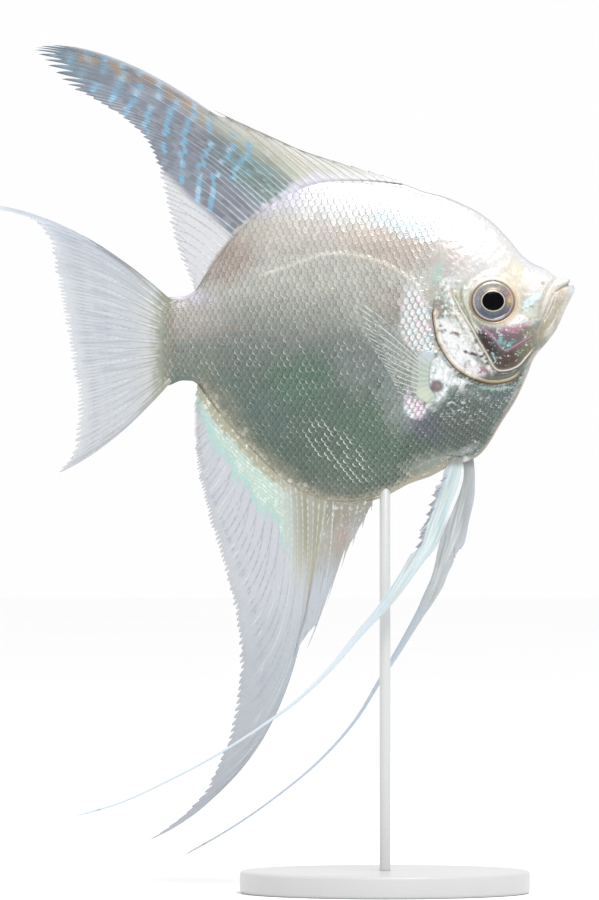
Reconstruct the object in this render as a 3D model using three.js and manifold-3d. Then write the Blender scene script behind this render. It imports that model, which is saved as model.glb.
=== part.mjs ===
// Freshwater angelfish (Pterophyllum scalare): a still, life-size display model on a rod stand.
// Millimetres. +X runs towards the snout, +Z up, and -Y is the fish's right side.
// The origin is the middle of the stand's underside. The fish hangs with its nose 7 degrees up.
import * as THREE from "three";
import Module from "manifold-3d";

const wasm = await Module();
wasm.setup();

// ---- driving dimensions -------------------------------------------------------------------

const GAP = 0.3; // clearance between neighbouring pieces
const BASE = { radius: 29, thickness: 4.5, edge: 0.7, sides: 36 };
const ROD = { radius: 1.1, socket: 3.4, foot: 0.1, sides: 20 };
const EYE = { x: 21.6, z: 118.4, radius: 4.15, depth: 2.4, sunk: 1.5, turn: 0.14, sides: 16 };
const COVER = 0.9; // thickness of a gill cover

// Outline of the body without its middle fins, seen from the side: [x, z] from tail to lips.
const BACK = [
  [-43.0, 119.2], [-40.4, 119.3], [-37.8, 120.7], [-34.8, 125.6], [-30.8, 131.2], [-26.0, 135.9],
  [-21.4, 139.4], [-16.4, 141.9], [-11.0, 142.8], [-4.0, 142.7], [2.8, 142.0], [8.0, 140.2],
  [11.7, 139.3], [14.3, 138.3], [18.3, 136.4], [21.7, 133.9], [25.0, 130.4], [28.0, 127.0],
  [29.8, 125.8], [32.2, 124.8], [33.6, 123.7], [34.8, 122.9], [36.2, 122.8], [36.7, 121.9],
  [37.9, 120.8],
];
const BELLY = [
  [-43.0, 101.6], [-40.6, 102.5], [-38.4, 102.4], [-36.6, 100.4], [-32.8, 95.2], [-27.8, 89.4],
  [-23.8, 85.2], [-19.4, 81.3], [-16.0, 79.3], [-11.2, 77.8], [-6.6, 77.6], [-2.8, 78.4], [1.0, 79.8],
  [5.0, 81.9], [9.0, 83.3], [13.0, 85.3], [17.0, 86.5], [19.0, 87.7], [21.0, 90.2], [23.0, 93.6],
  [26.2, 98.7], [28.2, 103.0], [29.8, 106.9], [32.6, 110.4], [34.2, 112.6], [35.6, 115.6],
  [37.0, 118.6], [37.9, 120.3],
];
// Half of the body's width, and how full its section is: [x, value].
const HALF_WIDTH = [
  [-43.0, 1.5], [-38.0, 2.3], [-32.0, 3.3], [-22.0, 4.8], [-12.0, 6.0], [-2.0, 6.9], [7.0, 7.5],
  [13.0, 7.5], [19.0, 6.9], [23.0, 6.1], [27.0, 5.1], [31.0, 4.0], [34.5, 3.0], [37.0, 2.1],
  [37.9, 1.3],
];
const FULLNESS = [[-43.0, 0.72], [-7.0, 0.8], [13.0, 0.74], [23.0, 0.6], [37.9, 0.5]];
const WIDEST_AT = -0.08; // height of the widest point, from -1 at the belly to 1 at the back
const FLATNESS = 2.1; // how flat the flank is about its widest point
const SECTION_STEPS = 10; // lengths up one side of a section
const SECTION_SPACING = { share: 0.16, least: 0.85, most: 2.8 }; // share of the way to the lips

// Lines on the side of the body, [x, z], from the top down.
const COVER_FRONT = [
  [13.6, 118.4], [15.0, 116.6], [17.2, 113.0], [19.1, 109.8], [20.9, 106.4], [22.0, 103.8],
];
const COVER_REAR = [
  [11.0, 118.2], [9.6, 115.2], [10.4, 110.2], [12.2, 106.6], [15.4, 104.0], [18.6, 102.6],
];
const HEAD_END = [
  [9.6, 155.0], [9.4, 124.0], [8.7, 115.2], [9.5, 110.0], [11.5, 105.9], [15.0, 103.2],
  [20.4, 101.2], [24.0, 100.4], [53.0, 60.0],
];
const JAW_LINE = [
  [53.0, 155.0], [43.0, 122.6], [37.2, 121.5], [35.6, 121.0], [34.2, 119.9], [33.2, 117.2],
  [31.8, 113.0], [30.6, 109.8], [30.6, 60.0],
];
const SHOULDER_END = [[-10.5, 155.0], [-7.5, 110.0], [-5.5, 60.0]];
const STALK_START = [[-34.2, 155.0], [-35.2, 111.0], [-33.8, 60.0]];

// Fins: where the root and the tip of each spine or ray lie, [ray number, x, z], and how far it
// bows sideways, [ray number, share of its length]. The first rays are stiff spines, and their
// membrane is notched more deeply. It runs on along the first soft ray up to its share lead.
// Crook is where along a ray it bows most, sway how far the tips stand out of the middle plane.
const FIN_ROOT = 0.6; // how deep a fin's root is drawn inside the body before it is trimmed
const RIM = 0.25; // half the thickness of a fin at its free edge
const RAY_NOTCH = 0.045; // depth of the notch after a soft ray, as a share of the ray
const CLEAR_OF_RAY = 0.51; // how far in front of the first soft ray the spiny membrane ends
const DORSAL_FIN = {
  spines: 12, rays: 30, rows: 5, rootHalf: 0.7, crook: 0.68, sway: 1.6, lead: 0.33, notch: 0.14,
  root: [
    [1, 3.4, 141.9], [5, -2.6, 142.6], [9, -10.4, 142.8], [12, -15.8, 142.1], [16, -21.4, 139.4],
    [20, -26.0, 135.9], [24, -30.8, 131.2], [27, -34.8, 125.6], [30, -37.9, 120.6],
  ],
  tip: [
    [1, 2.2, 142.9], [3, -3.4, 144.5], [5, -10.4, 146.5], [7, -16.8, 148.6], [9, -24.0, 151.8],
    [11, -31.4, 155.2], [12, -35.4, 157.1], [13, -65.6, 169.6], [14, -70.6, 168.9],
    [15, -68.0, 166.2], [16, -64.8, 162.4], [18, -55.0, 156.8], [20, -48.4, 151.2],
    [22, -45.6, 145.2], [24, -44.2, 139.4], [26, -43.0, 133.6], [28, -41.2, 127.4],
    [30, -38.8, 121.6],
  ],
  bow: [[1, 0.05], [12, 0.09], [13, 0.16], [30, 0.03]],
};
const ANAL_FIN = {
  spines: 6, rays: 26, rows: 5, rootHalf: 0.7, crook: 0.69, sway: -1.4, lead: 0.31, notch: 0.22,
  root: [
    [1, -2.4, 78.6], [4, -7.0, 77.6], [7, -12.0, 77.9], [10, -16.8, 79.7], [13, -21.4, 83.0],
    [18, -28.6, 90.3], [22, -33.6, 96.2], [26, -37.4, 101.6],
  ],
  tip: [
    [1, -2.8, 76.0], [2, -4.6, 72.8], [3, -6.6, 69.2], [4, -8.8, 65.0], [5, -12.1, 57.2],
    [6, -16.9, 46.6], [7, -48.0, 10.2], [8, -40.0, 16.0], [9, -35.2, 22.4], [11, -30.7, 34.4],
    [13, -29.3, 46.4], [15, -30.5, 57.2], [17, -33.2, 67.0], [19, -35.7, 75.6], [22, -38.1, 87.0],
    [24, -38.5, 94.6], [26, -38.1, 100.9],
  ],
  bow: [[1, -0.02], [6, -0.12], [7, -0.27], [26, -0.05]],
};
const TAIL_FIN = {
  spines: 0, rays: 18, rows: 5, rootHalf: 0.6, crook: 0.6, sway: 2.2,
  root: [[1, -43.0, 118.8], [9, -43.0, 110.4], [18, -43.0, 102.0]],
  tip: [
    [1, -83.0, 138.0], [2, -70.6, 134.6], [3, -67.6, 131.0], [5, -65.9, 123.8], [8, -64.4, 115.6],
    [11, -62.9, 106.8], [14, -61.8, 98.6], [16, -62.0, 91.6], [17, -63.2, 87.0], [18, -66.0, 83.6],
  ],
  bow: [[1, 0.18], [18, -0.11]],
};
const PECTORAL_FIN = {
  spines: 0, rays: 9, rows: 4, rootHalf: 0.45, crook: 0.6, off: 0.4, lean: 0.24,
  root: [[1, 6.0, 107.8], [5, 6.4, 103.6], [9, 6.0, 99.2]],
  tip: [
    [1, -7.0, 119.9], [2, -7.2, 116.8], [4, -4.2, 110.8], [6, -0.8, 105.8], [8, 1.4, 102.0],
    [9, 2.0, 100.2],
  ],
  bow: [[1, 0.08], [9, -0.1]],
};

// Pelvic fins: centre line [x, y, z], and half widths [share of the length, half width]. The
// long first ray runs on as a feeler.
const PELVIC_RIGHT = {
  line: [
    [13.4, -2.0, 86.8], [11.8, -3.2, 80.0], [9.8, -4.2, 74.6], [8.2, -4.8, 69.8], [5.8, -5.3, 66.0],
    [2.7, -5.7, 61.4], [-0.5, -6.1, 57.2], [-5.0, -6.6, 52.2], [-11.0, -7.1, 45.0], [-17.0, -7.4, 39.2],
    [-25.0, -7.5, 33.3], [-33.0, -7.3, 28.2], [-43.0, -6.8, 22.8], [-53.0, -6.0, 18.2],
    [-61.6, -5.4, 15.6],
  ],
  half: [
    [0, 2.6], [0.06, 2.5], [0.13, 2.4], [0.165, 2.1], [0.2, 1.5], [0.28, 1.15], [0.33, 0.85],
    [0.42, 0.6], [0.5, 0.42], [0.8, 0.32], [1, 0.25],
  ],
};
const PELVIC_LEFT = {
  line: [
    [15.8, 2.0, 87.0], [15.8, 3.2, 79.0], [14.6, 4.4, 74.6], [13.4, 5.0, 70.6], [11.9, 5.6, 66.6],
    [10.6, 6.1, 62.6], [8.4, 6.5, 58.2], [4.1, 7.2, 50.6], [-0.8, 7.9, 42.6], [-5.7, 8.4, 34.6],
    [-12.7, 8.8, 26.6], [-22.3, 8.5, 18.6], [-31.0, 7.8, 12.6], [-40.0, 7.0, 7.4],
  ],
  half: [
    [0, 2.0], [0.08, 2.1], [0.15, 2.3], [0.19, 1.9], [0.23, 1.5], [0.29, 1.25], [0.33, 0.9],
    [0.42, 0.6], [0.52, 0.42], [0.8, 0.32], [1, 0.25],
  ],
};
const PELVIC_HALF_THICKNESS = [[0, 0.55], [0.34, 0.25], [1, 0.25]];
const FEELER_CUTS = [0.34, 0.66]; // where a pelvic fin becomes a feeler, and the feeler is divided
const FEELER_STEPS = 26; // sections along a whole pelvic fin

// ---- colours --------------------------------------------------------------------------------

const LOOKS = {
  skin: { color: 0xb9bbb2, roughness: 0.38, metalness: 0.35 },
  face: { color: 0xe6dccb, roughness: 0.42, metalness: 0.1 },
  gill: { color: 0xdfe2e0, roughness: 0.25, metalness: 0.6 },
  fin: { color: 0xcdd2de, roughness: 0.45, metalness: 0.05 },
  feeler: { color: 0xd9ecf2, roughness: 0.45, metalness: 0.05 },
  eye: { color: 0x3a4250, roughness: 0.08, metalness: 0.2 },
  base: { color: 0xf1f1ef, roughness: 0.5, metalness: 0.0 },
  enamel: { color: 0xf4f4f2, roughness: 0.3, metalness: 0.0 },
};

// ---- curves ---------------------------------------------------------------------------------

// A smooth function through [x, value] points whose x rises, which never overshoots them.
function through(points) {
  const rises = points.slice(1).map((p, i) => (p[1] - points[i][1]) / (p[0] - points[i][0]));
  const slopes = points.map((_, i) => {
    const [before, after] = [rises[i - 1] ?? rises[0], rises[i] ?? rises.at(-1)];
    return before * after > 0 ? (2 * before * after) / (before + after) : 0;
  });
  return (x) => {
    const found = points.findLastIndex((p) => p[0] <= x);
    const i = THREE.MathUtils.clamp(found, 0, points.length - 2);
    const width = points[i + 1][0] - points[i][0];
    const t = THREE.MathUtils.clamp((x - points[i][0]) / width, 0, 1);
    const level = THREE.MathUtils.lerp(points[i][1], points[i + 1][1], t * t * (3 - 2 * t));
    return level + width * t * (1 - t) * (slopes[i] * (1 - t) - slopes[i + 1] * t);
  };
}

const backAt = through(BACK);
const bellyAt = through(BELLY);
const widthAt = through(HALF_WIDTH);
const fullnessAt = through(FULLNESS);
const TAIL_X = BACK[0][0];
const LIP_X = BACK.at(-1)[0];

// Half the body's thickness at x, where s runs from -1 at the belly to 1 at the back.
function halfThickness(x, s) {
  const reach = s > WIDEST_AT ? 1 - WIDEST_AT : 1 + WIDEST_AT;
  const t = Math.min(Math.abs(s - WIDEST_AT) / reach, 1);
  return widthAt(x) * (1 - t ** FLATNESS) ** fullnessAt(x);
}

// The body's right surface above a point of its side view: y, or 0 outside the outline.
function surfaceY(x, z) {
  const s = (2 * z - backAt(x) - bellyAt(x)) / (backAt(x) - bellyAt(x));
  return Math.abs(s) < 1 ? -halfThickness(x, s) : 0;
}

// ---- solids ---------------------------------------------------------------------------------

const KEYS_PER_MM = 1e4; // points nearer than this are one point

// A manifold-3d solid of positions and triangles, with faces that collapsed left out.
function solidOf(positions, triangles) {
  const keys = new Map();
  const vertices = [];
  const merged = positions.map((p) => {
    const key = p.map((v) => Math.round(v * KEYS_PER_MM)).join();
    if (!keys.has(key)) {
      keys.set(key, keys.size);
      vertices.push(...p);
    }
    return keys.get(key);
  });
  const faces = triangles
    .map((t) => t.map((i) => merged[i]))
    .filter(([a, b, c]) => a !== b && b !== c && a !== c);
  const build = (list) =>
    new wasm.Manifold(
      new wasm.Mesh({
        numProp: 3,
        vertProperties: new Float32Array(vertices),
        triVerts: new Uint32Array(list.flat()),
      }),
    );
  const made = build(faces);
  return made.volume() > 0 ? made : build(faces.map(([a, b, c]) => [a, c, b]));
}

// A closed solid over rings of points, each up its right side and back down its left side.
function loft(rings) {
  const n = rings[0].length;
  const triangles = [];
  const quad = (a, b, c, d) => triangles.push([a, b, c], [a, c, d]);
  for (let r = 0; r + 1 < rings.length; r += 1)
    for (let k = 0; k < n; k += 1) {
      const next = (k + 1) % n;
      quad(r * n + k, r * n + next, (r + 1) * n + next, (r + 1) * n + k);
    }
  const last = (rings.length - 1) * n;
  for (let k = 0; k + 1 < n / 2; k += 1) {
    quad(k, n - 1 - k, n - 2 - k, k + 1);
    quad(last + k, last + k + 1, last + n - 2 - k, last + n - 1 - k);
  }
  return solidOf(rings.flat(), triangles);
}

// A solid of a three.js geometry, moved and turned by a matrix.
function fromGeometry(geometry, matrix = new THREE.Matrix4()) {
  const g = (geometry.index ? geometry.toNonIndexed() : geometry).applyMatrix4(matrix);
  const at = g.getAttribute("position");
  const positions = Array.from({ length: at.count }, (_, i) => [at.getX(i), at.getY(i), at.getZ(i)]);
  const triangles = Array.from({ length: at.count / 3 }, (_, i) => [3 * i, 3 * i + 1, 3 * i + 2]);
  return solidOf(positions, triangles);
}

// A prism over an outline of [x, z] points, from one y to another.
function prism(outline, yFrom, yTo) {
  const shape = new THREE.Shape(outline.map(([x, z]) => new THREE.Vector2(x, z)));
  const geometry = new THREE.ExtrudeGeometry(shape, { depth: yTo - yFrom, bevelEnabled: false });
  const upright = new THREE.Matrix4().makeRotationX(Math.PI / 2).setPosition(0, yTo, 0);
  return fromGeometry(geometry, upright);
}

const FAR = 90;

// A line of [x, z] points moved sideways: to the right of its direction where by is positive.
function beside(line, by) {
  return line.map(([x, z], i) => {
    const before = line[Math.max(i - 1, 0)];
    const after = line[Math.min(i + 1, line.length - 1)];
    const along = new THREE.Vector2(after[0] - before[0], after[1] - before[1]).setLength(by);
    return [x + along.y, z - along.x];
  });
}

// Everything on the snout side (1) or the tail side (-1) of a line that runs downwards.
function sideOf(line, side) {
  const moved = beside(line, (-side * GAP) / 2);
  const edge = [[side * FAR, moved.at(-1)[1]], [side * FAR, moved[0][1]]];
  return prism([...moved, ...edge], -FAR / 2, FAR / 2);
}

// The largest body of a solid, so that trimming leaves no crumbs.
function largest(solid) {
  return solid.decompose().sort((a, b) => b.volume() - a.volume())[0];
}

// ---- the body -------------------------------------------------------------------------------

// Where the body's sections stand: closer and closer together towards the lips.
function stations() {
  const { share, least, most } = SECTION_SPACING;
  const list = [TAIL_X];
  while (LIP_X - list.at(-1) > 1.5 * least) {
    const step = THREE.MathUtils.clamp(share * (LIP_X - list.at(-1)), least, most);
    list.push(list.at(-1) + step);
  }
  return [...list, LIP_X];
}

// The whole body, grown outwards on all sides by some millimetres.
function body(grown = 0) {
  const rings = stations().map((x) => {
    const top = backAt(x) + grown;
    const bottom = bellyAt(x) - grown;
    const end = x === TAIL_X ? -grown : x === LIP_X ? grown : 0;
    const right = Array.from({ length: SECTION_STEPS + 1 }, (_, k) => {
      const s = -Math.cos((Math.PI * k) / SECTION_STEPS);
      const y = halfThickness(x, s) + (Math.abs(s) < 1 ? grown : 0);
      return [x + end, -y, bottom + ((s + 1) / 2) * (top - bottom)];
    });
    return [...right, ...right.toReversed().map(([a, y, z]) => [a, -y, z])];
  });
  return loft(rings);
}

const whole = body();
const keepOut = body(GAP);

// What lies within an outline on one side of the body, down to a depth under its surface.
function shell(outline, side, depth) {
  const block = side > 0 ? prism(outline, 1, FAR) : prism(outline, -FAR, -1);
  return block.subtract(body(-depth));
}

// ---- eyes -----------------------------------------------------------------------------------

// A flattened ball, let into the side of the head and turned a little towards the snout.
function eyeball(side, grown = 0) {
  const across = EYE.radius + grown;
  const inward = side * (Math.abs(surfaceY(EYE.x, EYE.z)) - EYE.sunk);
  const place = new THREE.Matrix4()
    .makeTranslation(EYE.x, inward, EYE.z)
    .multiply(new THREE.Matrix4().makeRotationZ(side * -EYE.turn))
    .multiply(new THREE.Matrix4().makeScale(across, EYE.depth + grown, across));
  const ball = new THREE.SphereGeometry(1, EYE.sides, EYE.sides / 2).rotateX(Math.PI / 2);
  return fromGeometry(ball, place);
}

// ---- fins -----------------------------------------------------------------------------------

// The line of a ray, from its root to its tip.
function rayLine({ root, tip, bow, crook }, number) {
  const at = (points, axis) => through(points.map((p) => [p[0], p[axis]]))(number);
  const from = new THREE.Vector2(at(root, 1), at(root, 2));
  const to = new THREE.Vector2(at(tip, 1), at(tip, 2));
  const along = to.clone().sub(from);
  const across = new THREE.Vector2(along.y, -along.x).multiplyScalar(at(bow, 1));
  const bend = from.clone().addScaledVector(along, crook).add(across);
  return new THREE.QuadraticBezierCurve(from, bend, to);
}

// A ring round a thin blade that follows a line up to a share of it. middleY(t, x, z) is the
// blade's middle plane.
function blade({ rows, rootHalf }, line, reach, middleY) {
  const inside = line.getTangent(0).multiplyScalar(-FIN_ROOT).add(line.v0);
  const right = Array.from({ length: rows + 1 }, (_, k) => {
    const t = k ? (reach * (k - 1)) / (rows - 1) : 0;
    const p = k ? line.getPoint(t) : inside;
    const half = RIM + (rootHalf - RIM) * (1 - t) ** 2;
    return { x: p.x, y: middleY(t, p.x, p.y), z: p.y, half };
  });
  return [
    ...right.map(({ x, y, z, half }) => [x, y - half, z]),
    ...right.toReversed().map(({ x, y, z, half }) => [x, y + half, z]),
  ];
}

// The blades of the rays from one number to another, with one in the membrane after each.
function blades(spec, first, last, middleY) {
  const notch = first > spec.spines ? RAY_NOTCH : spec.notch;
  return Array.from({ length: 2 * (last - first) + 1 }, (_, column) => {
    const reach = column % 2 ? 1 - notch : 1;
    return blade(spec, rayLine(spec, first + column / 2), reach, middleY);
  });
}

// A middle fin stands in the body's plane of symmetry and sways gently towards its tips.
function swayOf({ sway, root }) {
  const [front, rear] = [root[0][1], root.at(-1)[1]];
  return (t, x) => sway * Math.sin(2.2 * t + (1.5 * (front - x)) / (front - rear + 20)) * t;
}

function softFin(spec) {
  const rays = blades(spec, spec.spines + 1, spec.rays, swayOf(spec));
  return largest(loft(rays).subtract(keepOut));
}

// The spiny front of a fin ends just before its first soft ray.
function spinyFin(spec) {
  const { v0, v1, v2 } = rayLine(spec, spec.spines + 1);
  const forward = new THREE.Vector2(CLEAR_OF_RAY, 0);
  const end = new THREE.QuadraticBezierCurve(...[v0, v1, v2].map((p) => p.clone().add(forward)));
  const rays = blades(spec, 1, spec.spines, swayOf(spec));
  return largest(loft([...rays, blade(spec, end, spec.lead, swayOf(spec))]).subtract(keepOut));
}

// A pectoral fin lies back along the flank and leans away from it towards its tips.
function pectoralFin(side) {
  const { root, off, lean, rays } = PECTORAL_FIN;
  const rootX = root[1][1];
  const middleY = (t, x, z) => {
    const flank = Math.abs(surfaceY(rootX, z));
    return side * (flank + off + lean * Math.max(rootX - x, 0) * t);
  };
  return largest(loft(blades(PECTORAL_FIN, 1, rays, middleY)).subtract(keepOut));
}

// ---- pelvic fins ----------------------------------------------------------------------------

const pelvicThicknessAt = through(PELVIC_HALF_THICKNESS);

// One length of a pelvic fin, between two shares of its centre line. Its section has eight
// corners: [share of the half width, share of the half thickness].
const PELVIC_SECTION = [[-1, 0.5], [-0.5, 1], [0.5, 1], [1, 0.5]];

function pelvicLength(curve, halfAt, from, to) {
  const steps = Math.round((to - from) * FEELER_STEPS);
  const rings = Array.from({ length: steps + 1 }, (_, i) => {
    const share = from + ((to - from) * i) / steps;
    const p = curve.getPointAt(share);
    const along = curve.getTangentAt(share);
    const across = new THREE.Vector2(-along.z, along.x).setLength(halfAt(share));
    const right = PELVIC_SECTION.map(([wide, thick]) => {
      const y = p.y - pelvicThicknessAt(share) * thick;
      return [p.x + across.x * wide, y, p.z + across.y * wide];
    });
    const left = right.toReversed().map(([x, y, z]) => [x, 2 * p.y - y, z]);
    return [...right, ...left];
  });
  return loft(rings);
}

// The blade at the root of a pelvic fin, then the inner and the outer length of its feeler.
function pelvicFin({ line, half }) {
  const points = line.map((p) => new THREE.Vector3(...p));
  const curve = new THREE.CatmullRomCurve3(points, false, "centripetal");
  const cut = GAP / curve.getLength() / 2;
  const ends = [0, ...FEELER_CUTS, 1];
  return ends.slice(1).map((end, i) => {
    const [from, to] = [ends[i] + (i ? cut : 0), end - (end < 1 ? cut : 0)];
    const piece = pelvicLength(curve, through(half), from, to);
    return i ? piece : largest(piece.subtract(keepOut));
  });
}

// ---- the stand ------------------------------------------------------------------------------

// A flat round plate with its edges broken, under the rod.
function standBase() {
  const { radius, thickness, edge, sides } = BASE;
  const profile = [
    [0, 0], [radius - edge, 0], [radius, edge], [radius, thickness - edge],
    [radius - edge, thickness], [0, thickness],
  ].map(([r, z]) => new THREE.Vector2(r, z));
  return fromGeometry(new THREE.LatheGeometry(profile, sides).rotateX(Math.PI / 2));
}

// The rod stands on the middle of the base and ends in a socket in the belly.
function rod(grown = 0) {
  const bottom = BASE.thickness + ROD.foot;
  const top = bellyAt(0) + ROD.socket + grown;
  const radius = ROD.radius + grown;
  const bar = new THREE.CylinderGeometry(radius, radius, top - bottom, ROD.sides);
  return fromGeometry(bar.rotateX(Math.PI / 2).translate(0, 0, (top + bottom) / 2));
}

// ---- dividing the body ----------------------------------------------------------------------

const pieces = new Map();
const coverOutline = [...COVER_REAR, ...COVER_FRONT.toReversed()];
const coverRoom = [...beside(COVER_REAR, GAP), ...beside(COVER_FRONT, -GAP).toReversed()];
const frontPart = whole.intersect(sideOf(HEAD_END, 1));
const behindHead = whole.intersect(sideOf(HEAD_END, -1)).subtract(rod(GAP));

let head = frontPart.intersect(sideOf(JAW_LINE, -1));
[-1, 1].forEach((side) => {
  head = head.subtract(shell(coverRoom, side, COVER + GAP)).subtract(eyeball(side, GAP));
});

pieces.set("head", [largest(head), "face"]);
pieces.set("lower_jaw", [largest(frontPart.intersect(sideOf(JAW_LINE, 1))), "face"]);
[["right", -1], ["left", 1]].forEach(([name, side]) => {
  const cover = frontPart.intersect(shell(coverOutline, side, COVER));
  pieces.set(`gill_cover_${name}`, [largest(cover), "gill"]);
  pieces.set(`eye_${name}`, [eyeball(side), "eye"]);
});
pieces.set("trunk_front", [largest(behindHead.intersect(sideOf(SHOULDER_END, 1))), "skin"]);
pieces.set("trunk_rear", [
  largest(behindHead.intersect(sideOf(SHOULDER_END, -1)).intersect(sideOf(STALK_START, 1))),
  "skin",
]);
pieces.set("tail_stalk", [largest(behindHead.intersect(sideOf(STALK_START, -1))), "skin"]);

pieces.set("dorsal_fin_spiny", [spinyFin(DORSAL_FIN), "fin"]);
pieces.set("dorsal_fin_soft", [softFin(DORSAL_FIN), "fin"]);
pieces.set("anal_fin_spiny", [spinyFin(ANAL_FIN), "fin"]);
pieces.set("anal_fin_soft", [softFin(ANAL_FIN), "fin"]);
pieces.set("tail_fin", [softFin(TAIL_FIN), "fin"]);
pieces.set("pectoral_fin_right", [pectoralFin(-1), "fin"]);
pieces.set("pectoral_fin_left", [pectoralFin(1), "fin"]);
[["right", PELVIC_RIGHT], ["left", PELVIC_LEFT]].forEach(([side, spec]) => {
  const [fin, inner, outer] = pelvicFin(spec);
  pieces.set(`pelvic_fin_${side}`, [fin, "feeler"]);
  pieces.set(`feeler_${side}_inner`, [inner, "feeler"]);
  pieces.set(`feeler_${side}_outer`, [outer, "feeler"]);
});

pieces.set("stand_base", [standBase(), "base"]);
pieces.set("stand_rod", [rod(), "enamel"]);

// ---- the model ------------------------------------------------------------------------------

function meshOf(name, solid, look) {
  const { vertProperties, triVerts } = solid.getMesh();
  const geometry = new THREE.BufferGeometry()
    .setAttribute("position", new THREE.BufferAttribute(vertProperties, 3))
    .setIndex(new THREE.BufferAttribute(triVerts, 1));
  geometry.computeVertexNormals();
  const mesh = new THREE.Mesh(geometry, new THREE.MeshStandardMaterial(LOOKS[look]));
  mesh.name = name;
  return mesh;
}

const angelfish = new THREE.Group();
pieces.forEach(([solid, look], name) => angelfish.add(meshOf(name, solid, look)));

export default angelfish;
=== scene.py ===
"""The looks of the freshwater angelfish: skin, scales, fins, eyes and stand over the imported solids.

Lengths are in millimetres in the solids' frame, and become metres where a mesh is made.
+X runs towards the snout, +Z up, and -Y is the fish's right side.
"""
import collections
import functools
import math

import bpy
import numpy as np
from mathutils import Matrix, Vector


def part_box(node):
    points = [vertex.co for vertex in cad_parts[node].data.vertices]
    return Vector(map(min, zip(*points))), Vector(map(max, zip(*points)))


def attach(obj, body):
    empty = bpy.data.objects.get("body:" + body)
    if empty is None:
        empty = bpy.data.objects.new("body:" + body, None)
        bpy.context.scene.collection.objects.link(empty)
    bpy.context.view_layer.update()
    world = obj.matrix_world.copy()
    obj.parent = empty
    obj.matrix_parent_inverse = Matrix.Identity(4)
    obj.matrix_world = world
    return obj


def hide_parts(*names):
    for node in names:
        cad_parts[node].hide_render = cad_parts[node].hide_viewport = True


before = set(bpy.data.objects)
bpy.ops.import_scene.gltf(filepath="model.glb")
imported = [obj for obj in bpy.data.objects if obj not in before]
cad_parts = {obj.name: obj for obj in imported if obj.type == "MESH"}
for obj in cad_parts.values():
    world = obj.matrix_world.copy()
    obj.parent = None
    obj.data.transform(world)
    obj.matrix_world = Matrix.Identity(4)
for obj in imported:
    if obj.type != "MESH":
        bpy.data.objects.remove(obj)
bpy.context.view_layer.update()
MM = 0.001

# ---- the body, as in the solids but run on into the root of the tail fin ---------------------

BACK = [  # (x, z)
    (-46.8, 119.6), (-43.0, 119.2), (-40.4, 119.3), (-37.8, 120.7), (-34.8, 125.6), (-30.8, 131.2),
    (-26.0, 135.9), (-21.4, 139.4), (-16.4, 141.9), (-11.0, 142.8), (-4.0, 142.7), (2.8, 142.0),
    (8.0, 140.2), (11.7, 139.3), (14.3, 138.3), (18.3, 136.4), (21.7, 133.9), (25.0, 130.4),
    (28.0, 127.0), (29.8, 125.8), (32.2, 124.8), (33.6, 123.7), (34.8, 122.9), (36.2, 122.8),
    (36.7, 121.9), (37.9, 120.8),
]
BELLY = [  # (x, z)
    (-46.8, 101.0), (-43.0, 101.6), (-40.6, 102.5), (-38.4, 102.4), (-36.6, 100.4), (-32.8, 95.2),
    (-27.8, 89.4), (-23.8, 85.2), (-19.4, 81.3), (-16.0, 79.3), (-11.2, 77.8), (-6.6, 77.6),
    (-2.8, 78.4), (1.0, 79.8), (5.0, 81.9), (9.0, 83.3), (13.0, 85.3), (17.0, 86.5), (19.0, 87.7),
    (21.0, 90.2), (23.0, 93.6), (26.2, 98.7), (28.2, 103.0), (29.8, 106.9), (32.6, 110.4),
    (34.2, 112.6), (35.6, 115.6), (37.0, 118.6), (37.9, 120.3),
]
HALF_WIDTH = [  # (x, half the body's greatest width there)
    (-46.8, 0.3), (-43.0, 1.5), (-38.0, 2.3), (-32.0, 3.3), (-22.0, 4.8), (-12.0, 6.0), (-2.0, 6.9),
    (7.0, 7.5), (13.0, 7.5), (19.0, 6.9), (23.0, 6.1), (27.0, 5.1), (31.0, 4.0), (34.5, 3.0),
    (37.0, 2.1), (37.9, 1.3),
]
# A section thins out as (1 - t**FLATNESS)**fullness, where t is 0 at its widest and 1 at its ends.
FULLNESS = [(-46.8, 0.6), (-43.0, 0.72), (-7.0, 0.8), (13.0, 0.74), (23.0, 0.6), (37.9, 0.5)]
FLATNESS = 2.1
WIDEST_AT = -0.08  # from -1 at the belly to 1 at the back
TAIL_X, LIP_X = BACK[0][0], BACK[-1][0]
LIP_ROUND = 0.9  # length over which the lips round off

COAT = 0.26  # depth of the scales over the skin
EYE = {"x": 21.5, "z": 118.3, "radius": 4.3, "squash": 1.04}

# ---- curves and fields ----------------------------------------------------------------------


def through(points):
    """A smooth function through (x, value) points whose x rises, which never overshoots them."""
    x, y = np.array(points, float).T
    rise = np.diff(y) / np.diff(x)
    before, after = np.append(rise[0], rise), np.append(rise, rise[-1])
    same = before * after > 0
    slope = np.where(same, 2 * before * after / np.where(same, before + after, 1), 0)

    def at(v):
        v = np.asarray(v, float)
        i = np.clip(np.searchsorted(x, v, side="right") - 1, 0, len(x) - 2)
        width = x[i + 1] - x[i]
        t = np.clip((v - x[i]) / width, 0, 1)
        level = y[i] + (y[i + 1] - y[i]) * t * t * (3 - 2 * t)
        return level + width * t * (1 - t) * (slope[i] * (1 - t) - slope[i + 1] * t)

    return at


def smooth(low, high, v):
    """0 below low, 1 above high and a smooth rise between them; low may be the larger."""
    t = np.clip((v - low) / (high - low), 0, 1)
    return t * t * (3 - 2 * t)


def faded(share, ends):
    """1 along a line, falling to 0 over a share of it at both ends."""
    return smooth(0, ends, share) * smooth(1, 1 - ends, share)


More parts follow.
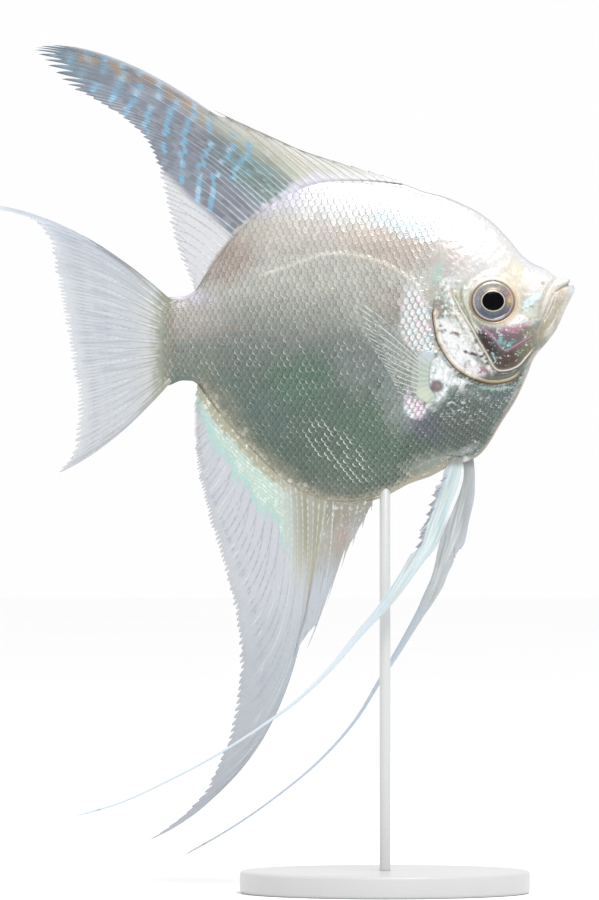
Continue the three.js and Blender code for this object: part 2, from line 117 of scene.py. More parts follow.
def curve(points, steps=8):
    """A polyline through (x, z) points, rounded as a Catmull-Rom curve."""
    p = np.array(points, float)
    p = np.vstack([2 * p[0] - p[1], p, 2 * p[-1] - p[-2]])
    t = np.linspace(0, 1, steps, endpoint=False)[:, None]
    runs = []
    for a, b, c, d in zip(p, p[1:], p[2:], p[3:]):
        runs.append(
            0.5 * (2 * b + (c - a) * t + (2 * a - 5 * b + 4 * c - d) * t**2 + (3 * b - a - 3 * c + d) * t**3)
        )
    return np.vstack(runs + [p[-2:-1]])


FAR = 1e3  # the distance given for points beyond a reach


def near(x, z, line, reach):
    """How far points lie from a polyline, positive on its left, and the share of it passed there.

    Points further off than reach in x or z are only said to be FAR away.
    """
    off = np.full(x.shape, FAR)
    share = np.zeros(x.shape)
    low, high = line.min(0) - reach, line.max(0) + reach
    seen = (x > low[0]) & (x < high[0]) & (z > low[1]) & (z < high[1])
    if not seen.any():
        return off, share
    u, v = x[seen], z[seen]
    best, passed = np.full(u.shape, FAR), np.zeros(u.shape)
    steps = np.hypot(*np.diff(line, axis=0).T)
    done = np.concatenate([[0], np.cumsum(steps)])
    for (ax, az), (bx, bz), length, start in zip(line, line[1:], steps, done):
        dx, dz = (bx - ax) / length, (bz - az) / length
        t = np.clip((u - ax) * dx + (v - az) * dz, 0, length)
        ex, ez = u - ax - t * dx, v - az - t * dz
        d = np.hypot(ex, ez)
        closer = d < np.abs(best)
        best = np.where(closer, np.copysign(d, dx * ez - dz * ex), best)
        passed = np.where(closer, (start + t) / done[-1], passed)
    off[seen], share[seen] = best, passed
    return off, share


def bell(d, width):
    """1 where d is 0, and 0.37 where it is a width."""
    return np.exp(-((d / width) ** 2))


def ellipse(x, z, centre, radii, turn):
    """Where points lie along and across an ellipse turned by some degrees, in its radii."""
    c, s = math.cos(math.radians(turn)), math.sin(math.radians(turn))
    dx, dz = x - centre[0], z - centre[1]
    return (dx * c + dz * s) / radii[0], (dz * c - dx * s) / radii[1]


def spot(x, z, centre, radii, turn=0.0):
    """A soft-edged ellipse: 1 in its middle, 0.37 at its radii. turn is in degrees."""
    u, v = ellipse(x, z, centre, radii, turn)
    return np.exp(-(u**2) - v**2)


def scatter(i, j, seed):
    """A number from 0 to 1 for each pair of whole numbers."""
    h = (i * 374761393 + j * 668265263 + seed * 974711) & 0xFFFFFFFF
    h = ((h ^ (h >> 13)) * 1274126177) & 0xFFFFFFFF
    return ((h ^ (h >> 16)) & 0xFFFF) / 65535.0


def mottle(x, z, size, seed):
    """Smooth noise from -1 to 1 with patches of about a size."""
    u, v = x / size + 1000, z / size + 1000
    i, j = np.floor(u).astype(np.int64), np.floor(v).astype(np.int64)
    f, g = smooth(0, 1, u - i), smooth(0, 1, v - j)
    low = scatter(i, j, seed) * (1 - f) + scatter(i + 1, j, seed) * f
    high = scatter(i, j + 1, seed) * (1 - f) + scatter(i + 1, j + 1, seed) * f
    return 2 * (low * (1 - g) + high * g) - 1


LAMP_SHARE = 0.76  # what a surface keeps of its look in flat white light, as the lamp adds the rest


def rgb(*values):
    """The linear albedo that looks like a 0 to 255 display colour under the studio's light."""
    v = np.array(values, float) / 255
    return LAMP_SHARE * np.where(v < 0.04045, v / 12.92, ((v + 0.055) / 1.055) ** 2.4)


def mixed(base, colour, share):
    """base moved towards a colour, by a share for each point."""
    share = np.clip(share, 0, 1)[..., None]
    return base * (1 - share) + colour * share


def layered(base, *layers):
    """base under layers of paint, each a display colour and its share for each point."""
    for tone, share in layers:
        base = mixed(base, rgb(*tone), share)
    return base


back_at, belly_at = through(BACK), through(BELLY)
width_at, fullness_at = through(HALF_WIDTH), through(FULLNESS)


def half_thickness(x, s):
    """Half the body's thickness at x, where s runs from -1 at the belly to 1 at the back."""
    reach = np.where(s > WIDEST_AT, 1 - WIDEST_AT, 1 + WIDEST_AT)
    t = np.minimum(np.abs(s - WIDEST_AT) / reach, 1)
    blunt = np.sqrt(np.clip(1 - (np.clip(x - LIP_X + LIP_ROUND, 0, LIP_ROUND) / LIP_ROUND) ** 2, 0.002, 1))
    return width_at(x) * blunt * (1 - t**FLATNESS) ** fullness_at(x)


# ---- meshes ---------------------------------------------------------------------------------


def make(name, points, faces, looks, colour, uv, stands_for=()):
    """A smooth mesh object that rides on the model.

    faces is a list of arrays of corners, colour has one RGBA row for each point or is None, and
    uv has one row for each point or each corner.
    """
    mesh = bpy.data.meshes.new(name)
    mesh.vertices.add(len(points))
    mesh.vertices.foreach_set("co", (np.asarray(points) * MM).astype(np.float32).ravel())
    corners = np.concatenate([f.ravel() for f in faces])
    sizes = np.concatenate([np.full(len(f), f.shape[1]) for f in faces])
    mesh.loops.add(len(corners))
    mesh.loops.foreach_set("vertex_index", corners.astype(np.int32))
    mesh.polygons.add(len(sizes))
    mesh.polygons.foreach_set("loop_start", (np.cumsum(sizes) - sizes).astype(np.int32))
    mesh.update(calc_edges=True)
    mesh.polygons.foreach_set("use_smooth", np.ones(len(sizes), bool))
    at_corners = uv[corners] if len(uv) == len(points) else uv
    layer = mesh.uv_layers.new(name="OFBake")
    layer.data.foreach_set("uv", at_corners.astype(np.float32).ravel())
    if colour is not None:
        layer = mesh.color_attributes.new("Marks", "FLOAT_COLOR", "POINT")
        layer.data.foreach_set("color", colour.astype(np.float32).ravel())
    mesh.materials.append(looks)
    piece = bpy.data.objects.new(name, mesh)
    bpy.context.scene.collection.objects.link(piece)
    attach(piece, "root")
    if stands_for:
        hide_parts(*stands_for)


def quads(rows, columns, closed=False):
    """Faces over a grid of points stored row by row, whose last column may join its first."""
    i, j = np.meshgrid(np.arange(rows - 1), np.arange(columns if closed else columns - 1), indexing="ij")
    after = (j + 1) % columns
    low, high = i * columns, (i + 1) * columns
    return np.stack([low + j, low + after, high + after, high + j], -1).reshape(-1, 4)


# ---- materials ------------------------------------------------------------------------------


def set_range(node, low, high, out_low, out_high):
    """Let a Map Range node carry the numbers from low to high over to those from out_low to out_high."""
    node.inputs["From Min"].default_value = low
    node.inputs["From Max"].default_value = high
    node.inputs["To Min"].default_value = out_low
    node.inputs["To Max"].default_value = out_high


class Looks:
    """A node material under construction, around one Principled shader."""

    def __init__(self, name, **values):
        self.material = bpy.data.materials.new(name)
        self.material.use_nodes = True
        self.tree = self.material.node_tree
        self.shader = self.tree.nodes["Principled BSDF"]
        for socket, value in values.items():
            self.shader.inputs[socket.replace("_", " ")].default_value = value

    def node(self, kind, settings=(), **inputs):
        made = self.tree.nodes.new("ShaderNode" + kind)
        for key, value in dict(settings).items():
            setattr(made, key, value)
        for socket, value in inputs.items():
            self.feed(made, socket.replace("_", " "), value)
        return made

    def feed(self, node, socket, value):
        if isinstance(value, bpy.types.NodeSocket):
            self.tree.links.new(value, node.inputs[socket])
        else:
            node.inputs[socket].default_value = value

    def set(self, **inputs):
        for socket, value in inputs.items():
            self.feed(self.shader, socket.replace("_", " "), value)

    def noise(self, scale, detail=3.0):
        place = self.node("TexCoord").outputs["Object"]
        made = self.node("TexNoise", Vector=place, Scale=scale, Detail=detail, Roughness=0.55)
        return made.outputs["Fac"]

    def marks(self):
        return self.node("Attribute", {"attribute_name": "Marks"})

    def ranged(self, value, *limits):
        made = self.node("MapRange", Value=value)
        set_range(made, *limits)
        return made.outputs["Result"]

    def shaded(self, colour, share, darker, lighter):
        """A colour multiplied by a grey that runs between two levels with share."""
        level = self.ranged(share, 0.3, 0.7, darker, lighter)
        grey = self.node("CombineColor", Red=level, Green=level, Blue=level).outputs["Color"]
        mix = self.node("Mix", {"data_type": "RGBA", "blend_type": "MULTIPLY"})
        mix.inputs[0].default_value = 1.0
        self.tree.links.new(colour, mix.inputs[6])
        self.tree.links.new(grey, mix.inputs[7])
        return mix.outputs[2]

    def plain(self, *colour):
        made = self.node("RGB").outputs[0]
        made.default_value = (*colour, 1)
        return made

    def finish(self, colour, grain, roughness, depth, **more):
        """Feed the shader a colour, and a roughness and a relief of some mm that follow the grain."""
        height = self.node("Bump", Height=grain, Distance=depth * MM, Strength=1.0)
        self.set(
            Base_Color=colour,
            Roughness=self.ranged(grain, 0.3, 0.7, *roughness),
            Normal=height.outputs["Normal"],
            **more,
        )
        return self.material


def living_skin(name, bump_scale, bump_depth, roughness):
    """Marked skin or scale: its colour and its metal shine come from the marks."""
    looks = Looks(name, Coat_Weight=0.25, Coat_Roughness=0.12, Specular_IOR_Level=0.5)
    marks = looks.marks()
    fine = looks.noise(bump_scale)
    colour = looks.shaded(marks.outputs["Color"], fine, 0.88, 1.1)
    limits = (roughness - 0.05, roughness + 0.08)
    return looks.finish(colour, fine, limits, bump_depth, Metallic=marks.outputs["Alpha"])


def membrane(name, roughness):
    """Marked fin: its colour and how far it can be seen through come from the marks."""
    looks = Looks(name, Specular_IOR_Level=0.35, Coat_Weight=0.15, Coat_Roughness=0.2)
    marks = looks.marks()
    fine = looks.noise(2600.0)
    colour = looks.shaded(marks.outputs["Color"], fine, 0.95, 1.03)
    limits = (roughness - 0.06, roughness + 0.06)
    return looks.finish(colour, fine, limits, 0.01, Alpha=marks.outputs["Alpha"])


def wet_eye():
    """The marked eyeball under a clear, wet coat."""
    looks = Looks("wet_eye", Coat_Weight=1.0, Coat_Roughness=0.02)
    marks = looks.marks()
    fine = looks.noise(5200.0)
    colour = looks.shaded(marks.outputs["Color"], fine, 0.82, 1.12)
    return looks.finish(colour, fine, (0.22, 0.34), 0.012, Metallic=marks.outputs["Alpha"])


def pupil_glass():
    """The pupil, so dark that hardly anything shows in it."""
    looks = Looks("eye_pupil", Specular_IOR_Level=0.05)
    depth = looks.noise(1500.0)
    colour = looks.shaded(looks.plain(0.0012, 0.0013, 0.002), depth, 0.6, 1.4)
    return looks.finish(colour, depth, (0.12, 0.2), 0.004)


def lacquer(name, colour, roughness, grain, depth):
    """A sprayed stand finish with a faint orange peel."""
    looks = Looks(name, Coat_Weight=0.2, Coat_Roughness=0.15)
    peel = looks.noise(grain, detail=2.0)
    tone = looks.shaded(looks.plain(*colour), looks.noise(grain / 12), 0.985, 1.01)
    return looks.finish(tone, peel, (roughness - 0.04, roughness + 0.04), depth)


# ---- the skin -------------------------------------------------------------------------------

# Lines on the side of the head, from the photograph's fish: (x, z).
MOUTH_SLIT = curve([(37.9, 121.9), (36.6, 121.6), (35.4, 121.1), (34.3, 120.4)])
LIP_FOLD = curve([(34.3, 123.0), (32.7, 121.4), (31.5, 119.2), (30.9, 116.7), (30.6, 114.4)])
LIP_CREASE = curve([(34.6, 120.9), (33.2, 119.1), (32.3, 116.9), (31.4, 114.6)])
JAW_CREASE = curve([(34.4, 120.3), (34.1, 119.0), (33.5, 117.3), (32.6, 115.5), (31.6, 114.0)])
JAW_FOLD = curve([(34.6, 116.8), (34.0, 115.0), (33.1, 113.4), (32.4, 112.4)])
JAW_HINGE = curve([(31.4, 114.4), (30.6, 112.6), (30.5, 110.4), (31.0, 108.6)])
SNOUT_EDGE = curve([(26.7, 116.9), (27.3, 115.7), (29.4, 114.9), (30.7, 114.5)])
CHEEK_RIM = curve([
    (13.0, 120.6), (14.0, 118.6), (15.4, 116.0), (17.3, 112.9), (18.9, 109.9), (20.0, 108.1), (20.9, 106.5),
    (21.9, 104.9), (23.2, 104.4), (25.1, 104.7), (26.8, 105.6), (28.3, 107.3), (29.6, 108.8), (30.3, 109.4),
])
CHEEK_CREST = curve([(15.7, 121.4), (15.6, 118.8), (16.6, 116.4), (17.4, 114.0), (18.4, 112.0)])
CHEEK_FOLD = curve([
    (18.7, 113.3), (20.4, 112.1), (21.9, 110.7), (23.4, 108.7), (24.6, 108.7), (26.2, 109.6), (28.7, 111.1),
    (29.6, 111.8),
])
COVER_TOP = 117.8  # height of the gill cover's upper end
COVER_EDGE = curve([
    (9.7, COVER_TOP), (9.3, 115.4), (9.7, 112.7), (10.3, 110.1), (11.5, 107.8), (12.8, 106.0), (14.2, 104.6),
    (16.1, 103.3), (18.0, 102.5), (19.9, 101.9), (21.5, 101.7), (23.2, 101.8), (24.9, 102.2), (26.4, 103.0),
    (27.8, 104.4),
])
WHOLE_BODY = 60  # a reach from the gill cover's edge that takes in all of the body
BREAST_EDGE = curve([(27.8, 104.4), (29.0, 106.0), (30.2, 108.4)])
SIDE_LINE = curve([
    (9.0, 119.6), (7.0, 121.2), (2.8, 124.2), (-1.0, 126.2), (-6.8, 127.6), (-12.6, 127.6), (-18.4, 125.6),
    (-24.0, 123.8), (-27.0, 122.4),
])
SIDE_LINE_REAR = curve([(-43.4, 110.8), (-39.0, 111.7), (-35.6, 112.4), (-30.2, 112.8), (-25.0, 113.2)])
TAIL_CREASE = curve([
    (-44.0, 118.0), (-43.0, 115.6), (-42.6, 113.0), (-42.6, 110.0), (-42.9, 106.5), (-43.6, 103.0),
])
NOSTRIL = (31.5, 121.8)
# A line along the middle of the pectoral fin's fleshy base, and the dark hollow beside it.
FIN_LOBE = curve([(9.6, 108.0), (7.6, 106.4), (6.9, 103.4), (7.4, 100.4), (9.8, 98.4)])
AXIL = (10.2, 101.3)


def groove(x, z, line, width, depth, ends=0.12):
    """A crease along a line, which fades out over a share of it at both ends."""
    off, share = near(x, z, line, 4 * width)
    fade = faded(share, ends) if ends else 1
    return -depth * bell(off, width) * fade


def plate(x, z, line, rise, run, drop, ends=0.06):
    """A plate that rises towards a line on its left and drops to a groove on its right."""
    off, share = near(x, z, line, 4 * run)
    body = rise * np.exp(-np.clip(off, 0, None) / run) * smooth(-0.16, 0.1, off)
    return faded(share, ends) * (body - drop * bell(off + 0.3, 0.22)) * (np.abs(off) < FAR)


def from_eye(x, z):
    """Distance from the middle of the eye, as if it were round."""
    return np.hypot(x - EYE["x"], (z - EYE["z"]) * EYE["squash"])


def lobe_share(x, z):
    """1 on the pectoral fin's fleshy base, 0 away from it."""
    off, share = near(x, z, FIN_LOBE, 5)
    width = 1.9 * np.sqrt(np.clip(1 - np.abs(2 * share - 1) ** 2.6, 0, 1)) + 0.2
    return smooth(1.0, 0.75, np.abs(off) / width)


def relief(x, z):
    """How far the skin stands out: lips, folds, gill cover, eye socket and the pectoral fin's base."""
    r = from_eye(x, z)
    out = -1.6 * smooth(4.32, 3.9, r)
    out += 0.3 * bell(r - 4.62, 0.3) + 0.1 * bell(r - 5.5, 0.5) - 0.12 * bell(r - 6.3, 0.6)
    out += 0.22 * spot(x, z, (21.4, 124.2), (2.2, 0.45), 14)
    out += groove(x, z, MOUTH_SLIT, 0.15, 0.32, ends=0) - 0.5 * spot(x, z, (37.2, 121.75), (0.8, 0.26), 10)
    off, share = near(x, z, MOUTH_SLIT, 3)
    out += (0.42 * bell(off - 0.6, 0.4) + 0.45 * bell(off + 0.7, 0.48)) * smooth(1.0, 0.75, share)
    out += 0.35 * spot(x, z, (36.4, 120.2), (1.3, 0.6), 12) + 0.2 * spot(x, z, (35.9, 122.3), (0.9, 0.5), 12)
    out += groove(x, z, LIP_FOLD, 0.3, 0.42) + groove(x, z, LIP_CREASE, 0.22, 0.3)
    out += groove(x, z, JAW_CREASE, 0.22, 0.3) + groove(x, z, JAW_FOLD, 0.22, 0.16)
    out += groove(x, z, JAW_HINGE, 0.28, 0.26) + groove(x, z, SNOUT_EDGE, 0.22, 0.2)
    out += 0.26 * spot(x, z, (32.4, 119.4), (0.55, 3.2), -22)
    out += plate(x, z, CHEEK_RIM, 0.26, 0.6, 0.25)
    out += plate(x, z, CHEEK_CREST, 0.2, 0.5, 0.14)
    out += plate(x, z, CHEEK_FOLD, 0.16, 0.8, 0.1)
    out += plate(x, z, COVER_EDGE, COAT + 0.3, 2.2, 0.12, ends=0.1)
    out += groove(x, z, BREAST_EDGE, 0.3, 0.2)
    nostril = np.hypot(x - NOSTRIL[0], z - NOSTRIL[1])
    out += 0.1 * bell(nostril - 0.6, 0.22) - 0.35 * bell(nostril, 0.3)
    out += 0.6 * lobe_share(x, z) - 0.5 * spot(x, z, AXIL, (1.2, 1.2))
    out += groove(x, z, TAIL_CREASE, 0.3, 0.08)
    head = smooth(9, 14, x) * smooth(4.4, 5.2, r)
    return out + head * (0.05 * mottle(x, z, 1.1, 3) + 0.035 * mottle(x, z, 0.5, 4))


def covered(x, z):
    """1 where the body carries scales, 0 on the bare face and the pectoral fin's base."""
    off, _ = near(x, z, COVER_EDGE, WHOLE_BODY)
    level = x - 0.3 * np.clip(z - 124, 0, 12) + 1.0 * mottle(x, z, 2.6, 6)
    behind = np.where(z > COVER_TOP, smooth(12.0, 5.5, level), smooth(0.15, -0.15, off))
    nape = smooth(13.5, 8.0, x + 0.25 * (136.0 - z) + 0.9 * mottle(x, z, 2.4, 7)) * smooth(120.5, 124.5, z)
    breast = smooth(28.5, 26.5, x) * (z < 108)
    pad = smooth(0.3, 0.6, spot(x, z, (10.2, 85.6), (5.0, 1.7), 14))
    pad = np.maximum(pad, smooth(0.25, 0.5, spot(x, z, (10.4, 102.6), (2.2, 5.0), -12)))
    brink = smooth(0.1, 1.2, np.minimum(z - belly_at(x), back_at(x) - z))
    scaly = np.maximum(behind * np.where(x > 20, breast, 1), nape)
    return scaly * (1 - lobe_share(x, z)) * (1 - pad) * brink


def stations():
    """Where the skin's sections stand: close together over the head and closer at the lips."""
    trunk = np.arange(TAIL_X, 4.0, 0.7)
    head = np.arange(4.0, LIP_X - LIP_ROUND - 0.1, 0.155)
    tip = LIP_X - LIP_ROUND * (1 - np.sin(np.linspace(0, math.pi / 2, 13)))
    return np.concatenate([trunk, head, tip])


class Skin:
    """The right half of the skin as a grid of points and normals, from the belly to the back."""

    STEPS = 250  # of a section, closer together at the belly and the back
    EVEN_STEPS = 200  # of a section where they are evenly spaced

    def __init__(self):
        self.x = stations()
        share = np.linspace(0, 1, self.STEPS + 1)
        self.s = 0.6 * (2 * share - 1) - 0.4 * np.cos(math.pi * share)
        x, s = np.meshgrid(self.x, self.s, indexing="ij")
        low, high = belly_at(x), back_at(x)
        z = low + (s + 1) / 2 * (high - low)
        plain = np.stack([x, -half_thickness(x, s), z], -1)
        plain[..., 1] *= 1 - 0.85 * smooth(-44.3, TAIL_X + 0.4, x)
        plain[:, [0, -1], 1] = 0
        normal = self.normals(plain)
        lift = relief(x, z) - (COAT + 0.03) * covered(x, z)
        lift *= smooth(TAIL_X, TAIL_X + 3, x) * np.clip(half_thickness(x, s) / 0.8 + 0.35, 0, 1)
        self.points = plain + normal * lift[..., None]
        self.points[:, [0, -1], 1] = 0
        self.points[..., 0] = np.minimum(self.points[..., 0], LIP_X)
        self.normal = self.normals(self.points)
        # Lengths round the body leave its relief out, so that the rows of scales run evenly.
        steps = np.linalg.norm(np.diff(plain, axis=1), axis=2)
        self.along = np.concatenate([np.zeros((len(self.x), 1)), np.cumsum(steps, 1)], 1)
        self.divide_evenly()

    @staticmethod
    def normals(points):
        """Outward normals of a grid of points on the right side, level at the body's ridge and keel."""
        n = np.cross(np.gradient(points, axis=1), np.gradient(points, axis=0))
        n[:, [0, -1], 1] = 0
        n /= np.maximum(np.linalg.norm(n, axis=2, keepdims=True), 1e-9)
        return n if n[:, n.shape[1] // 2, 1].mean() < 0 else -n

    def divide_evenly(self):
        """Keep the grid again, with each section divided evenly by its length from belly to back."""
        share = np.linspace(0, 1, self.EVEN_STEPS + 1)
        self.length = self.along[:, -1]
        self.even_points = np.empty((len(self.x), self.EVEN_STEPS + 1, 3))
        self.even_normal = np.empty_like(self.even_points)
        for i, along in enumerate(self.along):
            for k in range(3):
                self.even_points[i, :, k] = np.interp(share * along[-1], along, self.points[i, :, k])
                self.even_normal[i, :, k] = np.interp(share * along[-1], along, self.normal[i, :, k])
        rows = zip(axis_at(self.x), self.points, self.along)
        self.middle = np.array([np.interp(level, p[:, 2], along) for level, p, along in rows])

    def at(self, x, girth):
        """Points, normals and shares of a section, at lengths girth above the axis of the scale rows.

        Past the back or the belly the answer carries on down the other side.
        """
        x = np.clip(x, self.x[0] + 0.01, self.x[-1] - 0.01)
        i = np.clip(np.searchsorted(self.x, x) - 1, 0, len(self.x) - 2)
        f = (x - self.x[i]) / (self.x[i + 1] - self.x[i])
        length = self.length[i] * (1 - f) + self.length[i + 1] * f
        share = (self.middle[i] * (1 - f) + self.middle[i + 1] * f + girth) / length
        over = (share > 1) | (share < 0)
        share = np.where(share > 1, 2 - share, np.abs(share))
        m = np.clip(share, 0, 0.99999) * self.EVEN_STEPS
        j = m.astype(int)
        g, f = (m - j)[..., None], f[..., None]
        found = []
        for table in (self.even_points, self.even_normal):
            low = table[i, j] * (1 - g) + table[i, j + 1] * g
            high = table[i + 1, j] * (1 - g) + table[i + 1, j + 1] * g
            value = low * (1 - f) + high * f
            value[..., 1] = np.where(over, -value[..., 1], value[..., 1])
            found.append(value)
        return found[0], found[1], np.clip(share, 0, 1)


axis_at = through([(-47.0, 110.4), (-20.0, 110.8), (0.0, 112.5), (20.0, 117.0)])  # axis of the scale rows


def skin_uv(x, share, side):
    """The skin's own unwrap: along the body, and round it from the belly up one side and down the other."""
    u = 0.02 + 0.96 * (x - TAIL_X) / (LIP_X - TAIL_X)
    v = 0.5 * share if side < 0 else 1 - 0.5 * share
    return np.stack([u, 0.01 + 0.98 * v], -1)


# ---- colours of the body ----------------------------------------------------------------------

# Down the flank, at the middle of the body: (z, red, green, blue). Its fall from a near-white back to a dark
# keel is partly the fish's own countershading and partly painted light and shade from light falling from
# above.
FLANK = [
    (76, 116, 118, 106), (82, 98, 110, 100), (88, 88, 107, 96), (94, 88, 109, 98), (100, 94, 113, 104),
    (105, 107, 121, 115), (110, 132, 138, 134), (116, 165, 167, 161), (122, 198, 199, 192),
    (128, 198, 196, 190), (134, 220, 219, 218), (139, 232, 232, 234), (145, 230, 231, 234),
]
FLANK_AT = [
    through(list(zip([row[0] for row in FLANK], rgb(*[row[k] for row in FLANK])))) for k in (1, 2, 3)
]


def flank_colour_and_shade(x, z):
    """The flank's colour from keel to back, partly its own and partly painted light and shade from light
    above, shifted a little over the shoulder and the tail.
    """
    level = z + 3.0 * smooth(-28, -42, x) - 2.0 * smooth(-4, 8, x)
    return np.stack([channel(level) for channel in FLANK_AT], -1)


# Patches of colour: centre, radii, turn in degrees, colour, strength, and how broken the edge is.
BODY_PATCHES = [
    ((-30, 131), (9, 5), 48, (178, 172, 166), 0.6, 0.2),
    ((-31, 126), (5, 3.5), 50, (168, 146, 134), 0.6, 0.3),
    ((-20, 134), (8, 4), 25, (216, 214, 204), 0.5, 0.2),
    ((2, 128.6), (9, 4), -14, (200, 184, 174), 0.75, 0.3),
    ((-6, 132), (9, 2.0), -8, (216, 206, 196), 0.5, 0.3),
    ((-8, 136), (12, 2.2), -6, (222, 230, 232), 0.5, 0.2),
    ((4, 133.5), (7, 2.0), -20, (204, 222, 230), 0.8, 0.3),
    # Painted sheen: lavender along the back.
    ((-20, 140), (9, 3), 20, (224, 222, 246), 0.6, 0.2),
    ((-17, 103), (7, 4.5), 20, (86, 120, 100), 0.6, 0.3),
    ((-3, 92), (6, 6), -30, (90, 118, 94), 0.5, 0.3),
    ((-3, 107), (7, 4), 10, (112, 118, 130), 0.6, 0.3),
    ((-24, 96), (6, 4), -45, (96, 112, 112), 0.5, 0.3),
    ((-19, 118), (9, 4), 10, (152, 156, 152), 0.35, 0.2),
    ((-14, 122), (12, 3), 4, (196, 196, 184), 0.35, 0.3),
    ((8, 93.5), (4.8, 2.6), -25, (104, 102, 124), 0.85, 0.3),
    ((6.5, 96.8), (2.0, 1.7), -40, (214, 204, 222), 0.85, 0.5),
    ((14, 94), (6, 5), 40, (84, 95, 92), 0.75, 0.3),
    ((22, 98.5), (5, 3.2), 60, (88, 103, 100), 0.8, 0.3),
    ((27.4, 102), (5, 0.6), 60, (180, 184, 182), 0.8, 0.2),
    ((22.9, 92.5), (6, 0.6), 60, (176, 174, 166), 0.7, 0.2),
    ((16.6, 88.8), (2.6, 0.8), 24, (214, 220, 220), 0.6, 0.8),
    ((9, 85.6), (6.5, 2.2), 16, (148, 156, 146), 0.95, 0.5),
    ((6, 82.4), (9, 1.0), 20, (196, 190, 178), 0.7, 0.3),
    ((-19, 83), (9, 1.8), -42, (150, 148, 130), 0.6, 0.5),
    ((-32, 98), (8, 2.0), -50, (144, 144, 128), 0.55, 0.4),
    ((-10, 80), (7, 2.2), -8, (136, 138, 124), 0.5, 0.4),
    ((-39, 119.0), (4.5, 1.6), -10, (226, 220, 240), 0.9, 0.2),
    ((-38.5, 115.5), (6, 3.5), 0, (190, 184, 178), 0.75, 0.2),
    ((-38, 106), (6, 3.0), 0, (126, 136, 122), 0.5, 0.2),
    ((1.6, 116.5), (3.4, 3.2), 40, (156, 142, 130), 0.7, 0.5),
    ((17, 94), (5, 4.5), 30, (84, 93, 87), 0.8, 0.4),
    ((6.6, 120.4), (2.4, 4.2), 8, (212, 214, 208), 0.7, 0.6),
    ((9.5, 127.0), (3.4, 2.8), -10, (192, 186, 180), 0.8, 0.5),
    ((-3, 117), (5, 6), 0, (184, 186, 180), 0.6, 0.3),
    ((2.5, 100), (3.5, 7), 0, (152, 160, 158), 0.75, 0.4),
    ((-1, 120), (4, 2.5), -20, (196, 188, 176), 0.5, 0.4),
    ((2.5, 109), (3.2, 5), 0, (190, 196, 192), 0.85, 0.5),
    ((-5, 106), (4.5, 6), 0, (140, 150, 144), 0.6, 0.4),
    ((-5, 84), (9, 4), -10, (102, 120, 106), 0.6, 0.4),
]
SHOULDER_PATCHES = [
    ((6.2, 114.0), (2.6, 6.2), 6, (252, 252, 254), 1.0, 0.3),
    ((16.4, 86.6), (0.9, 0.8), 30, (250, 246, 250), 1.0, 0.5),
    ((8.6, 119.2), (1.6, 2.0), 0, (196, 190, 178), 0.8, 0.4),
    ((8.7, 109.0), (1.0, 2.6), 10, (196, 226, 230), 0.8, 0.5),
    ((11.6, 103.6), (2.9, 1.7), -35, (252, 254, 254), 1.0, 0.5),
    ((13.4, 102.2), (2.4, 0.9), -34, (226, 232, 232), 0.8, 0.9),
    ((21.6, 101.0), (3.4, 0.45), -2, (176, 208, 208), 0.8, 0.9),
    ((16, 100.6), (4.5, 1.4), -22, (116, 124, 120), 0.7, 0.6),
    ((5.0, 103.5), (0.8, 5.0), 0, (240, 244, 244), 0.8, 0.8),
    ((7.6, 97.9), (2.6, 0.6), -30, (236, 244, 246), 0.9, 0.8),
    ((5.2, 98.6), (1.6, 2.0), 0, (230, 224, 236), 0.8, 0.5),
]
